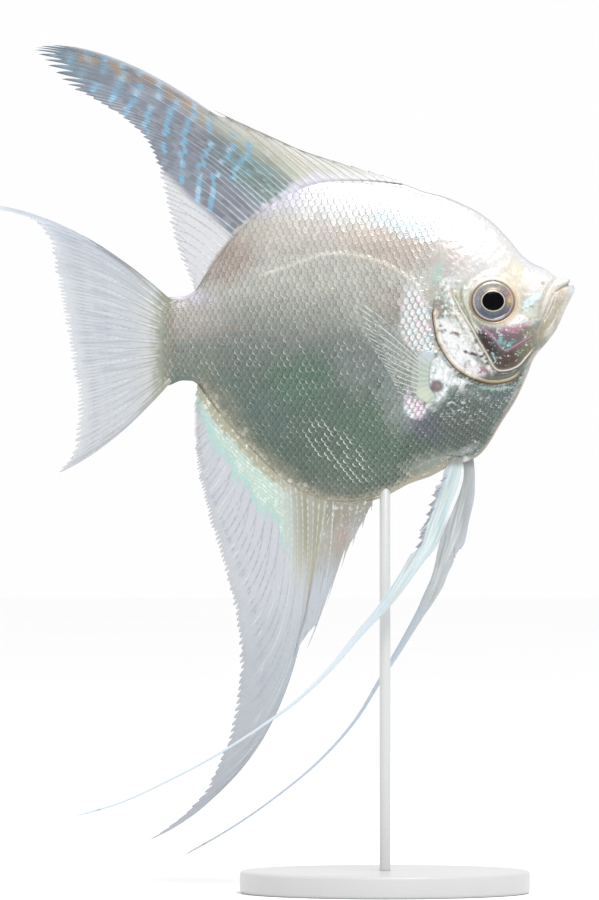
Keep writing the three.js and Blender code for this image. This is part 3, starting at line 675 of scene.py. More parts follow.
HEAD_PATCHES = [
    ((14, 130), (7, 6), 0, (222, 221, 223), 0.9, 0.2),
    ((21, 128), (7, 6), 0, (226, 226, 226), 0.9, 0.2),
    ((11.6, 126.4), (4.6, 3.4), -15, (190, 180, 174), 0.9, 0.5),
    ((17, 124.5), (3.5, 2.4), -10, (210, 206, 204), 0.8, 0.4),
    ((26.2, 122.6), (3.2, 3.8), -10, (234, 224, 200), 0.8, 0.3),
    ((31, 121.5), (3.4, 3), -30, (232, 230, 226), 0.9, 0.3),
    ((29.5, 125.5), (5, 1.3), -40, (214, 214, 220), 0.8, 0.2),
    ((10.3, 124.4), (1.2, 2.6), -20, (172, 208, 200), 0.9, 1.2),
    ((12.2, 121.6), (1.4, 1.2), 20, (248, 250, 250), 0.95, 0.7),
    ((12.0, 119.2), (2.6, 2.0), 0, (198, 194, 188), 0.8, 0.4),
    ((14.0, 122.4), (1.8, 1.2), 0, (206, 206, 208), 0.7, 0.5),
    ((11.0, 117.0), (1.8, 1.8), 20, (152, 140, 132), 0.9, 0.8),
    ((16.3, 119.2), (1.4, 3.6), 14, (204, 208, 196), 0.9, 0.4),
    ((17.5, 115.2), (1.0, 2.6), 28, (122, 140, 124), 0.95, 0.5),
    ((14.6, 117.4), (1.0, 3.4), 24, (196, 190, 158), 0.75, 0.6),
    ((14.4, 114.4), (2.2, 2.4), 30, (220, 218, 208), 0.9, 0.8),
    ((12.6, 113.4), (1.6, 1.6), 30, (196, 192, 186), 0.7, 1.0),
    ((14.4, 109.2), (3.4, 4.4), 36, (252, 253, 253), 1.0, 0.3),
    ((12.3, 109.6), (0.8, 1.9), 22, (196, 176, 166), 0.6, 1.0),
    ((18.2, 107.5), (2.4, 0.3), -18, (96, 80, 92), 1.0, 0.8),
    ((12.6, 112.4), (2.2, 0.3), -24, (128, 110, 96), 0.8, 0.9),
    ((14.6, 111.2), (1.6, 0.25), -52, (140, 122, 104), 0.7, 0.9),
    ((14.6, 105.6), (2.0, 0.7), -38, (248, 250, 252), 1.0, 0.3),
    ((18.2, 104.5), (2.3, 1.3), -22, (246, 240, 244), 1.0, 0.4),
    ((19.9, 104.4), (1.2, 0.9), -10, (164, 116, 138), 0.9, 1.1),
    ((21.2, 103.9), (0.9, 0.9), 0, (112, 104, 92), 0.95, 0.6),
    ((25.2, 103.6), (5.0, 1.3), 24, (96, 106, 96), 1.0, 0.1),
    ((21.4, 102.9), (2.4, 0.8), 0, (92, 98, 86), 0.9, 0.3),
    ((29.4, 105.6), (0.9, 1.7), 40, (186, 190, 188), 0.9, 0.2),
    ((28.0, 106.0), (1.2, 1.6), 40, (120, 130, 128), 0.9, 0.2),
    ((23.5, 112.0), (4.6, 2.6), -8, (122, 108, 122), 1.0, 0.2),
    ((20.3, 109.5), (1.5, 3.6), 40, (62, 50, 48), 1.0, 0.3),
    ((24.6, 106.8), (3.6, 1.9), 22, (84, 68, 60), 1.0, 0.2),
    ((28.1, 108.7), (2.0, 2.0), 35, (112, 110, 88), 1.0, 0.2),
    ((28.4, 111.6), (1.9, 1.6), 20, (134, 124, 106), 0.9, 0.3),
    ((28.4, 114.0), (1.4, 0.7), 10, (218, 208, 206), 0.8, 0.6),
    ((26.0, 110.6), (2.4, 0.8), 24, (120, 106, 106), 0.9, 0.4),
    ((21.2, 114.0), (3.2, 0.75), -22, (176, 202, 190), 0.95, 0.8),
    ((26.0, 114.6), (2.6, 1.25), 24, (255, 252, 253), 1.0, 0.4),
    ((26.3, 113.0), (2.4, 0.6), 16, (206, 140, 160), 0.7, 0.8),
    ((23.6, 112.9), (1.2, 0.7), 0, (176, 124, 148), 0.6, 1.0),
    ((20.9, 111.6), (1.9, 0.3), -42, (176, 116, 140), 0.6, 0.6),
    ((23.4, 110.0), (1.3, 0.6), -32, (126, 196, 192), 0.9, 1.2),
    ((25.2, 110.1), (0.9, 0.4), 20, (130, 192, 190), 0.6, 1.2),
    ((21.6, 107.4), (0.3, 0.8), 30, (170, 208, 220), 0.8, 0.9),
    ((25.9, 109.2), (2.2, 0.2), 30, (176, 100, 136), 0.7, 0.4),
    ((29.0, 118.3), (2.6, 0.75), 36, (222, 240, 240), 1.0, 0.6),
    ((28.6, 116.2), (1.4, 0.9), -14, (214, 228, 214), 0.9, 0.6),
    ((30.2, 116.4), (0.9, 2.0), -10, (214, 214, 204), 0.7, 0.3),
    ((32.6, 119.0), (0.9, 3.4), -22, (228, 222, 212), 1.0, 0.2),
    ((35.2, 122.3), (1.4, 0.5), 16, (240, 238, 236), 1.0, 0.2),
    ((35.4, 119.0), (1.6, 1.6), 10, (206, 201, 194), 1.0, 0.2),
    ((35.0, 120.2), (2.0, 0.8), 24, (234, 220, 202), 0.8, 0.3),
    ((34.8, 117.6), (0.9, 1.7), -22, (180, 177, 166), 0.8, 0.3),
    ((37.4, 120.3), (0.6, 1.1), 20, (216, 220, 230), 0.9, 0.2),
    ((33.6, 115.8), (1.6, 3.2), -28, (182, 174, 156), 1.0, 0.3),
    ((31.8, 111.7), (1.2, 1.7), -30, (162, 152, 126), 0.9, 0.4),
    ((32.9, 112.4), (0.8, 1.6), -30, (206, 202, 192), 0.9, 0.3),
    ((30.5, 107.9), (1.4, 0.5), 50, (214, 206, 188), 0.9, 0.3),
    ((35.6, 116.6), (0.6, 2.6), -24, (214, 210, 204), 0.8, 0.2),
]
# Fine lines on the head: line, half width, colour, strength.
HEAD_LINES = [
    (CHEEK_RIM, 0.13, (255, 252, 244), 1.0),
    (CHEEK_CREST, 0.16, (232, 236, 220), 0.9),
    (CHEEK_FOLD, 0.09, (226, 208, 218), 0.45),
    (SNOUT_EDGE, 0.15, (226, 212, 176), 0.9),
    (LIP_FOLD, 0.2, (190, 178, 166), 0.6),
    (LIP_CREASE, 0.16, (188, 176, 162), 0.7),
    (JAW_CREASE, 0.12, (244, 240, 232), 0.8),
    (JAW_FOLD, 0.12, (240, 236, 226), 0.8),
    (MOUTH_SLIT, 0.11, (168, 146, 132), 0.8),
    (JAW_HINGE, 0.16, (196, 186, 164), 0.5),
]
# Marks beside a line: painted shade on the gill cover's edge and its painted shadow on the body below,
# painted shade beside the cheek's crest, and coloured lines and streaks. Each: line, how far to its left,
# half width, colour, strength.
HEAD_SIDE_MARKS = [
    # Painted shade on the gill cover's edge, then the painted shadow it casts on the body.
    (COVER_EDGE, 0.08, 0.24, (96, 66, 40), 1.0),
    (COVER_EDGE, -0.5, 0.3, (104, 112, 104), 0.5),
    (COVER_EDGE, 1.3, 0.18, (176, 150, 140), 0.25),
    (COVER_EDGE, 0.44, 0.13, (206, 174, 122), 0.75),
    (COVER_EDGE, 0.68, 0.1, (246, 238, 218), 0.7),
    (CHEEK_RIM, -0.28, 0.12, (140, 118, 96), 0.4),
    (CHEEK_RIM, 0.3, 0.14, (140, 120, 98), 0.6),
    # Painted shade beside the cheek's crest.
    (CHEEK_CREST, -0.42, 0.24, (158, 150, 118), 0.7),
    (CHEEK_FOLD, -0.22, 0.1, (150, 84, 116), 0.45),
    (LIP_CREASE, 0.3, 0.2, (238, 234, 226), 0.6),
]


def painted(base, x, z, patches):
    """base under a list of patches, whose edges follow one noise over the whole body."""
    ragged = 0.5 * mottle(x, z, 0.8, 8) + 0.6 * mottle(x, z, 0.32, 9)
    for centre, radii, turn, colour, strength, broken in patches:
        r = np.hypot(*ellipse(x, z, centre, radii, turn))
        share = smooth(1.75 - 0.5 * min(broken, 1), 0.3 + 0.5 * min(broken, 1), r + broken * ragged)
        base = mixed(base, rgb(*colour), strength * share)
    return base


def fleck(x, z, size, seed, share):
    """1 in scattered specks that cover about a share of the surface."""
    n = 0.7 * mottle(x, z, size, seed) + 0.45 * mottle(x, z, 0.45 * size, seed + 100)
    return smooth(0.75 - 1.5 * share, 0.95 - 1.2 * share, n)


def slant(edge_at, x):
    """How much shorter the distance straight to the outline is than the height to it."""
    return 1 / np.hypot(1, edge_at(x + 0.3) / 0.6 - edge_at(x - 0.3) / 0.6)


def tail_band(x, z):
    """The olive band where the tail fin grows out of the body: how strong it is."""
    reach = x + 0.5 * mottle(x, z, 1.1, 40) - 0.006 * (z - 108) ** 2
    return smooth(-42.4, -44.2, reach) * smooth(-48.0, -44.6, reach) * (0.85 + 0.4 * mottle(x, z, 0.6, 41))


def iris_ring(colour, x, z):
    """The cream skin round the eye, with a soft orange-brown ring of painted shade below it, painted shade
    in the gap round the eyeball, and a painted highlight on the fold above it.
    """
    r = from_eye(x, z)
    angle = np.arctan2(z - EYE["z"], x - EYE["x"])
    front, low = smooth(-0.2, 0.9, np.cos(angle)), smooth(0.3, -0.8, np.sin(angle))
    above = smooth(0.2, 0.9, np.sin(angle))
    # Cream and peach in front and a pale rim above; painted shade in an orange-brown ring below and behind
    # the eye, and darker painted shade in the gap round the eyeball, strongest below.
    colour = layered(
        colour,
        ((232, 222, 204), (0.4 + 0.5 * front) * bell(r - 5.1, 0.6)),
        ((156, 130, 98), 0.85 * (1 - 0.75 * above) * (1 - 0.6 * front) * bell(r - 4.6, 0.28)),
        ((230, 202, 166), 0.7 * front * bell(r - 4.65, 0.4)),
        ((250, 246, 238), 0.9 * above * bell(r - 4.6, 0.3)),
        ((112, 92, 70), (0.25 + 0.5 * low) * (1 - above) * bell(r - 4.28, 0.14)),
        ((60, 44, 40), (1 - 0.8 * above) * smooth(4.15, 3.9, r)),
    )
    # A painted highlight along the fold above the eye.
    return mixed(colour, rgb(255, 255, 253), 0.95 * spot(x, z, (21.2, 123.9), (1.9, 0.45), 14))


def crown_flecks(colour, x, z, high):
    """Gold, grey and white flecks over the top of the head and the nape."""
    colour = layered(
        colour,
        ((238, 208, 150), 0.4 * high * fleck(x, z, 0.4, 11, 0.22)),
        ((204, 196, 196), 0.5 * high * fleck(x, z, 0.4, 12, 0.2)),
        ((255, 255, 255), 0.4 * high * fleck(x, z, 0.5, 18, 0.25)),
    )
    crown = spot(x, z, (12.0, 135.0), (6.5, 4.5), -24)
    return layered(
        colour,
        ((240, 226, 192), 0.6 * crown * fleck(x, z, 0.45, 36, 0.24)),
        ((214, 208, 214), 0.5 * crown * fleck(x, z, 0.4, 37, 0.2)),
    )


def cover_flecks(colour, x, z, edge):
    """White, teal and brown flecks over the cheek and the gill cover, and just behind its edge."""
    beside, _ = near(x, z, CHEEK_RIM, 4)
    behind_rim = smooth(22.0, 20.5, x)
    ragged = bell(beside + 0.85, 0.6) * fleck(x, z, 0.55, 24, 0.8)
    colour = layered(
        colour,
        ((252, 251, 244), 0.95 * behind_rim * ragged),
        ((150, 132, 100), 0.7 * behind_rim * bell(beside + 1.6, 0.3) * fleck(x, z, 0.6, 35, 0.5)),
    )
    crest, _ = near(x, z, CHEEK_CREST, 4)
    colour = mixed(colour, rgb(253, 252, 246), 0.8 * bell(crest - 0.3, 0.5) * fleck(x, z, 0.45, 25, 0.4))
    upper = spot(x, z, (12.4, 117.4), (4.2, 5.6), 12)
    colour = layered(
        colour,
        ((104, 118, 108), 0.65 * upper * fleck(x, z, 0.7, 26, 0.35)),
        ((172, 222, 214), 0.8 * upper * fleck(x, z, 0.55, 27, 0.3)),
        ((253, 254, 252), 0.9 * upper * fleck(x, z, 0.6, 28, 0.3)),
    )
    cover = np.maximum(spot(x, z, (12.8, 108.0), (3.4, 6.4), 24), spot(x, z, (16.4, 105.0), (2.8, 1.7), -25))
    colour = layered(
        colour,
        ((120, 104, 92), 0.6 * cover * fleck(x, z, 0.5, 34, 0.3)),
        ((254, 255, 255), 0.95 * smooth(0.1, 0.4, cover) * fleck(x, z, 1.1, 31, 0.66)),
    )
    reach = 3.0 * smooth(16.5, 13.0, x)
    under_cover = smooth(-1.3 - reach, -0.5, edge) * smooth(0.2, -0.1, edge) * smooth(108, 103, z)
    return layered(
        colour,
        ((150, 214, 216), 0.85 * under_cover * fleck(x, z, 0.5, 32, 0.3)),
        ((253, 255, 255), 0.95 * under_cover * fleck(x, z, 0.5, 33, 0.3)),
    )


def lined(colour, x, z):
    """The fine lines of the head, and the painted shade and coloured lines beside them."""
    for line, aside, width, tone, strength in HEAD_SIDE_MARKS:
        off, share = near(x, z, line, 2)
        colour = mixed(colour, rgb(*tone), strength * bell(off - aside, width) * faded(share, 0.08))
    for line, width, tone, strength in HEAD_LINES:
        off, share = near(x, z, line, 4 * width)
        colour = mixed(colour, rgb(*tone), strength * bell(off, width) * faded(share, 0.08))
    return colour


def hemmed(colour, x, z):
    """The borders of the body: throat, keel and ridge."""
    above_keel = (z - belly_at(x)) * slant(belly_at, x)
    below_ridge = (back_at(x) - z) * slant(back_at, x)
    throat = smooth(15.0, 18.0, x) * smooth(33.0, 28.0, x)
    hem = smooth(1.1, 0.4, above_keel + 0.25 * mottle(x, z, 0.6, 19))
    colour = mixed(colour, rgb(168, 160, 150), 0.9 * throat * hem)
    keel = smooth(-39.0, -34.0, x) * smooth(16.0, 12.0, x)
    return layered(
        colour,
        ((188, 182, 162), 0.85 * keel * smooth(2.2, 0.4, above_keel + 0.5 * mottle(x, z, 0.9, 20))),
        ((244, 240, 226), 0.8 * keel * smooth(3.4, 1.0, above_keel) * fleck(x, z, 0.45, 21, 0.24)),
        ((164, 168, 192), 0.6 * smooth(0.5, 0.1, below_ridge) * smooth(34, 30, x) * smooth(-3, 3, x)),
    )


def fin_base(colour, x, z, lobe):
    """The fanned streaks of the pectoral fin's fleshy base, and the dark hollow beside it."""
    fan = 0.5 + 0.5 * np.sin(34 * np.arctan2(z - 102.6, 13.0 - x))
    return layered(
        colour,
        ((176, 188, 178), 0.9 * lobe),
        ((206, 216, 208), 0.6 * lobe * fan),
        ((212, 218, 190), 0.8 * lobe * spot(x, z, (7.6, 99.6), (1.6, 1.6))),
        ((196, 204, 214), 0.8 * lobe * spot(x, z, (8.4, 107.6), (1.8, 1.4))),
        ((118, 92, 106), 0.9 * smooth(1.6, 0.9, np.hypot(x - AXIL[0], z - AXIL[1]))),
        ((150, 146, 134), 0.8 * spot(x, z, (AXIL[0] + 0.4, AXIL[1]), (0.5, 0.6))),
    )


def marks(x, z):
    """Colour and metal shine of the body at (x, z), for the skin and the scales alike."""
    colour = painted(flank_colour_and_shade(x, z), x, z, BODY_PATCHES + SHOULDER_PATCHES)
    edge, _ = near(x, z, COVER_EDGE, WHOLE_BODY)
    before_nape = smooth(7.5, 12.0, x + 0.8 * mottle(x, z, 0.9, 17))
    on_head = np.where(z > COVER_TOP, before_nape, smooth(-0.2, 0.0, edge))
    face = painted(colour, x, z, HEAD_PATCHES)
    colour = mixed(colour, face, on_head)
    high = smooth(119, 125, z) * smooth(9, 14, x) * smooth(36, 29, x)
    colour = crown_flecks(colour, x, z, high)
    below_rim = smooth(0.3, 0.6, spot(x, z, (25.4, 104.0), (6.0, 2.2), 26))
    silver = on_head * smooth(119, 117, z) * smooth(31, 28, x) * (1 - below_rim)
    colour = layered(
        colour,
        ((252, 254, 254), 0.65 * silver * fleck(x, z, 0.5, 13, 0.2)),
        ((160, 214, 208), 0.5 * silver * fleck(x, z, 0.5, 14, 0.14)),
        ((110, 98, 96), 0.5 * silver * fleck(x, z, 0.4, 15, 0.16)),
    )
    breast = smooth(108, 102, z) * smooth(1, 9, x) * (1 - on_head)
    specks = 0.6 * breast * smooth(90, 100, z) * fleck(x, z, 0.45, 16, 0.2)
    colour = mixed(colour, rgb(236, 242, 242), specks)
    colour = cover_flecks(colour, x, z, edge)
    colour = lined(colour, x, z)
    axil = smooth(0.1, 0.5, spot(x, z, (10.6, 103.4), (2.6, 5.4), -14))
    axil = axil * (1 - lobe_share(x, z)) * smooth(0.1, -0.3, edge)
    colour = layered(
        colour,
        ((216, 226, 226), 0.8 * axil),
        ((253, 254, 254), 0.95 * axil * fleck(x, z, 0.6, 29, 0.55)),
        ((110, 138, 140), 0.6 * axil * fleck(x, z, 0.5, 30, 0.25)),
    )
    colour = hemmed(colour, x, z)
    jaw = spot(x, z, (33.3, 115.6), (2.0, 4.4), -28)
    colour = layered(
        colour,
        ((160, 142, 110), 0.55 * jaw * fleck(x, z, 0.9, 38, 0.3)),
        ((246, 242, 232), 0.6 * jaw * fleck(x, z, 0.6, 39, 0.2)),
    )
    pad = spot(x, z, (9.5, 86.2), (5.0, 1.8), 14)
    colour = mixed(colour, rgb(196, 200, 192), 0.6 * pad * fleck(x, z, 0.4, 22, 0.25))
    glints = np.maximum(
        spot(x, z, (17.4, 89.2), (1.6, 2.6), -30),
        0.8 * spot(x, z, (14.5, 97.0), (4.5, 3.0), -30),
    )
    colour = mixed(colour, rgb(248, 252, 252), smooth(0.3, 0.6, glints) * fleck(x, z, 0.5, 23, 0.24))
    off, share = near(x, z, TAIL_CREASE, 2)
    colour = layered(
        colour,
        ((190, 140, 92), (0.75 - 0.5 * share) * bell(off, 0.22)),
        ((208, 211, 213), smooth(-43.4, -46.4, x)),
        ((146, 150, 132), 0.9 * tail_band(x, z)),
    )
    colour = iris_ring(colour, x, z)
    nostril = np.hypot(x - NOSTRIL[0], z - NOSTRIL[1])
    colour = layered(
        colour,
        ((232, 204, 188), 0.5 * bell(nostril, 0.5)),
        ((196, 150, 128), 0.5 * bell(nostril, 0.2)),
    )
    lobe = lobe_share(x, z)
    colour = fin_base(colour, x, z, lobe)
    shine = 0.5 + 0.2 * silver - 0.42 * smooth(24, 31, x) - 0.3 * high * smooth(12, 18, x) - 0.4 * lobe
    shine = (shine - 0.3 * pad) * smooth(-44.4, -42.6, x)
    return np.concatenate([colour, np.clip(shine, 0.02, 0.75)[..., None]], -1)


def side_line(x, z):
    """How much a point belongs to the pored scales of the side line, and to its browner rear part."""
    front, share = near(x, z, SIDE_LINE, 2)
    rear, rear_share = near(x, z, SIDE_LINE_REAR, 2)
    pores = bell(front, 0.3) * smooth(0, 0.06, share) * smooth(1, 0.9, share)
    return pores, bell(rear, 0.28) * smooth(0, 0.06, rear_share) * smooth(1, 0.6, rear_share)


# ---- building the skin and its scales ---------------------------------------------------------


def build_skin():
    """Both halves of the skin as one closed mesh, and the right half for the scales to sit on."""
    skin = Skin()
    rows, steps = skin.points.shape[:2]
    right = skin.points
    left = right[:, -2:0:-1] * np.array([1, -1, 1])
    points = np.concatenate([right, left], 1)
    ring = points.shape[1]
    colour = marks(right[..., 0], right[..., 2])
    colour = np.concatenate([colour, colour[:, -2:0:-1]], 1)
    share = skin.along / skin.along[:, -1:]
    x = np.repeat(skin.x[:, None], steps, 1)
    uv = np.concatenate([skin_uv(x, share, -1), skin_uv(x, share, 1)[:, -2::-1]], 1).reshape(-1, 2)
    k = np.arange(1, steps - 2)
    ends = [row * ring + np.stack([k, k + 1, ring - k - 1, ring - k], -1) for row in (0, rows - 1)]
    ends[0] = ends[0][:, ::-1]
    uv_corners = [quads(rows, ring + 1)[:, ::-1]] + [e // ring * (ring + 1) + e % ring for e in ends]
    make(
        "skin", points.reshape(-1, 3), [quads(rows, ring, closed=True)[:, ::-1]] + ends,
        living_skin("fish_skin", 3800.0, 0.03, 0.34),
        colour.reshape(-1, 4), uv[np.concatenate([c.ravel() for c in uv_corners])],
        ["head", "lower_jaw", "gill_cover_right", "gill_cover_left", "trunk_front", "trunk_rear",
         "tail_stalk"],
    )
    return skin


# Scales lie in rows along the body, each row half a pitch behind the next.
pitch_at = through([  # (x, pitch)
    (-47.0, 0.95), (-43.0, 1.0), (-36.0, 1.1), (-28.0, 1.2), (-18.0, 1.26), (0.0, 1.26), (10.0, 1.2),
    (19.0, 1.08), (28.0, 1.0),
])
row_scale_at = through([  # (x, what the rows' heights are multiplied by there)
    (-47.0, 0.72), (-43.0, 0.78), (-36.0, 0.86), (-28.0, 0.94), (-18.0, 1.0), (0.0, 1.0), (10.0, 0.95),
    (19.0, 0.84), (28.0, 0.74),
])
row_height_at = through([  # (row, its height)
    (-50, 0.72), (-32, 0.82), (-18, 1.0), (0, 1.26), (12, 1.4), (26, 1.5),
])
ROWS = np.arange(-52, 34)
ROW_LEVEL = np.cumsum(row_height_at(ROWS)) - row_height_at(ROWS[ROWS <= 0]).sum()  # of a row above the axis
SCALE_LENGTH = 1.85  # of a scale, in pitches
SCALE_ARC = 1.5  # length of its rounded rear part, in pitches
SCALE_HALF = 0.9  # half its height, in rows
SCALE_THICK = 0.1
SCALE_ALONG = np.array([0.0, 0.35, 0.6, 0.76, 0.87, 0.94, 1.0])  # its rings from root to edge
SCALE_ACROSS = np.sin(np.radians(np.linspace(-90, 90, 9)))
SCALE_SHAPE = (len(SCALE_ALONG), len(SCALE_ACROSS))
SCALE_MIDDLE = 3 * len(SCALE_ACROSS) + len(SCALE_ACROSS) // 2  # the number of its middle point
SCALE_PATCH = 0.003  # the side of a scale in the skin's unwrap
PIECE_TRIANGLES = 190000  # at most in one piece of the coat


def scale_places():
    """Where the scales of one side sit: x, girth, the row's slope, column and row number."""
    places = []
    x, column = 27.5, 0
    while x > -43.6:
        stretch = float(row_scale_at(x))
        slope = float(row_scale_at(x + 0.5) - row_scale_at(x - 0.5)) / stretch
        for row, level in zip(ROWS, ROW_LEVEL):
            if (row + column) % 2:
                places.append((x, level * stretch, level * stretch * slope, column, row))
        x -= 0.5 * float(pitch_at(x))
        column += 1
    return np.array(places)


class Scales:
    """All scales of the right side, as one block of points for each."""

    def __init__(self, skin):
        places = scale_places()
        x, girth = places[:, 0], places[:, 1]
        i = np.clip(np.searchsorted(skin.x, x) - 1, 0, len(skin.x) - 2)
        seat, _, _ = skin.at(x, girth)
        margin = 0.3 * row_height_at(places[:, 4]) * row_scale_at(x)
        from_keel = skin.middle[i] + girth
        inside = (from_keel > margin) & (skin.length[i] - from_keel > margin)
        kept = inside & (covered(seat[:, 0], seat[:, 2]) > 0.4)
        self.x, self.girth, slope, column, row = places[kept].T
        self.column, self.row = column.astype(np.int64), row.astype(np.int64)
        self.pitch = pitch_at(self.x)
        self.height = row_height_at(self.row) * row_scale_at(self.x)
        self.a, self.b = (v.ravel()[None] for v in np.meshgrid(SCALE_ALONG, SCALE_ACROSS, indexing="ij"))
        self.place(skin, slope)
        self.colour = self.paint()

    def luck(self, seed):
        """A number from 0 to 1 for each scale."""
        return scatter(self.column, self.row, seed)[:, None]

    def place(self, skin, slope):
        length = SCALE_LENGTH * self.pitch[:, None] * (0.97 + 0.06 * self.luck(21))
        arc = SCALE_ARC * self.pitch[:, None] * (1 - np.sqrt(1 - self.b**2))
        forward = (self.a - 0.5) * length - arc * self.a
        self.aside = self.b * (0.55 + 0.45 * smooth(0, 0.45, self.a)) * SCALE_HALF * self.height[:, None]
        self.from_tip = 0.5 * length - forward
        norm = np.hypot(1, slope)[:, None]
        cos, sin = 1 / norm, slope[:, None] / norm
        base, normal, self.share = skin.at(
            self.x[:, None] - forward * cos + self.aside * sin,
            self.girth[:, None] - forward * sin + self.aside * cos,
        )
        tilt = 0.03 * (self.luck(22) - 0.5) * self.a + 0.04 * (self.luck(23) - 0.5) * self.b
        rise = COAT * (0.05 + 0.83 * self.a + 0.12 * (1 - self.b**2) * smooth(1.05, 0.75, self.a)) + tilt
        rise = rise + 0.6 * (COAT - rise) * smooth(9, 13, base[..., 0]) * smooth(108, 100, base[..., 2])
        bare = self.bare = 1 - covered(base[..., 0], base[..., 2])
        pores, rear = side_line(base[..., 0], base[..., 2])
        pores = pores * (1 - bare) ** 2
        rise = np.clip(rise + 0.06 * pores + 0.02 * rear, 0.01, COAT + 0.04) * (1 - bare) - 0.35 * bare**2
        self.top = base + normal * rise[..., None]
        self.rim = rim_loop(SCALE_SHAPE)
        under = base[:, self.rim] + normal[:, self.rim] * (rise[:, self.rim] - SCALE_THICK)[..., None]
        self.points = np.concatenate([self.top, under, under.mean(1, keepdims=True)], 1)

    def paint(self):
        """The body's marks, with each scale's own tone, its rim with painted highlights, and the painted
        shade of those that lap over it.
        """
        x, z = self.top[..., 0], self.top[..., 2]
        middle = self.top[:, SCALE_MIDDLE]
        own = marks(middle[:, 0], middle[:, 2])[:, None]
        here = marks(x, z)
        colour = mixed(here[..., :3], own[..., :3], 0.55 * smooth(12, 8, x))
        high = smooth(124, 134, z)
        low = smooth(120, 108, z)
        edge = np.maximum(smooth(0.9, 1.0, np.abs(2 * self.share - 1)), 0.7 * smooth(9, 13, x))
        tone = 1 + (0.10 - 0.02 * low) * (2 * self.luck(31) - 1) * (1 - self.bare)
        colour = colour * tone[..., None]
        half = SCALE_HALF * self.height[:, None]

        def arc(v):
            share = np.clip(np.abs(v) / half, 0, 0.999)
            return SCALE_ARC * self.pitch[:, None] * (1 - np.sqrt(1 - share**2))

        lapped = np.minimum(
            self.pitch[:, None] + arc(self.aside),
            0.5 * self.pitch[:, None] + arc(self.height[:, None] - np.abs(self.aside)),
        )
        plain = (1 - self.bare) ** 2
        # Painted shade on each scale, just behind the edges of the scales that lap over it.
        shade = smooth(0.42, 0.0, lapped - self.from_tip) * plain
        rim = smooth(0.86, 0.945, self.a) * plain
        lower = smooth(0.25, -0.45, self.b)
        upper = 1 - lower
        lit = self.luck(32)
        soft = 1 - 0.75 * smooth(-6, 8, x)
        crown = smooth(131, 137, z)
        # That painted shade is browner on the back and darker lower down.
        brown = colour * 0.8 + 0.2 * rgb(176, 160, 136)
        colour = mixed(colour, brown, (0.8 - 0.45 * crown) * shade * high * soft)
        colour = mixed(colour, colour * 0.5, (0.62 - 0.3 * low) * shade * (1 - high) * (1 - edge))
        # Rims: beige outlines on the back; pale rims on the mid flank, brightened into painted highlights
        # along their lower halves; pale outlines low down.
        colour = layered(
            colour,
            ((196, 184, 166), (0.8 - 0.4 * crown) * rim * high * soft),
            ((236, 236, 226), rim * (1 - high) * (1 - low) * (0.25 * upper + lower * (0.35 + 0.6 * lit))),
            ((160, 172, 164), rim * low * (0.25 + 0.15 * upper)),
        )
        # Painted highlights at the bottom of some rims on the mid flank.
        rim_glint = smooth(0.35, 0.95, lit) * lower * smooth(0.9, 0.4, np.abs(self.b))
        rim_glint = 0.9 * rim * low * rim_glint * smooth(96, 106, z) * smooth(18, 8, x)
        colour = mixed(colour, rgb(250, 246, 236), rim_glint)
        # Painted glints: small bright dots on some rims low on the body.
        glint_dot = smooth(0.55, 0.8, lit) * smooth(0.36, 0.12, np.abs(self.b + 0.4)) * smooth(18, 8, x)
        colour = mixed(colour, rgb(222, 222, 200), 0.75 * rim * glint_dot * smooth(108, 100, z))
        # Painted glints: bright dashes on the lower rims in a belt across the lower flank.
        glint_belt = smooth(0.35, 0.6, spot(x, z, (-9.5, 88.2), (10, 4.2), -42)) * smooth(0.4, 0.5, self.luck(33))
        glint_belt = 0.9 * glint_belt * rim * smooth(0.3, -0.1, self.b) * smooth(-1, -0.7, self.b)
        colour = mixed(colour, rgb(250, 250, 246), glint_belt)
        colour = self.shoulder(colour, x, z, rim, shade)
        wide = smooth(9, 13, x) * smooth(104, 98, z)
        colour = mixed(colour, rgb(150, 162, 160), 0.3 * rim * wide)
        # Painted glints: bright dashes on some lower rims of the breast.
        glint_dash = smooth(0.5, 0.8, self.luck(36)) * lower * smooth(89, 96, z)
        colour = mixed(colour, rgb(240, 246, 246), 0.7 * rim * wide * glint_dash)
        pores, rear = side_line(x, z)
        pores = pores * (1 - self.bare) ** 2
        colour = layered(
            colour,
            ((246, 242, 230), 0.95 * pores * (0.75 + 0.25 * rim) * (0.75 + 0.25 * self.luck(38))),
            ((190, 156, 126), 0.5 * rear * (0.3 + 0.7 * self.luck(39))),
        )
        full = np.concatenate([colour, here[..., 3:]], -1)
        full = np.concatenate([full, full[:, self.rim], full[:, self.rim].mean(1, keepdims=True)], 1)
        return np.clip(full, 0, 1)

    def shoulder(self, colour, x, z, rim, shade):
        """The big silvery scales behind the gill cover, outlined in magenta, teal and brown."""
        on = smooth(0.3, 0.55, spot(x, z, (6.2, 113.0), (3.2, 8.2), 6))
        on = np.maximum(on, smooth(0.35, 0.6, spot(x, z, (5.8, 97.0), (2.6, 2.4), -30)))
        pick = self.luck(34)[..., None]
        tone = np.where(pick > 0.4, rgb(146, 180, 186), rgb(160, 150, 142))
        tone = np.where(pick > 0.75, rgb(196, 146, 182), tone)
        # The white is held back in the painted shade where scales lap, and the coloured outlines follow the
        # rims and that painted shade.
        colour = mixed(colour, rgb(255, 255, 255), on * (0.75 + 0.25 * self.luck(35)) * (1 - 0.5 * shade))
        share = (0.8 * on * np.maximum(rim * smooth(1.0, 0.9, np.abs(self.b)), 0.8 * shade))[..., None]
        return colour * (1 - share) + tone * share


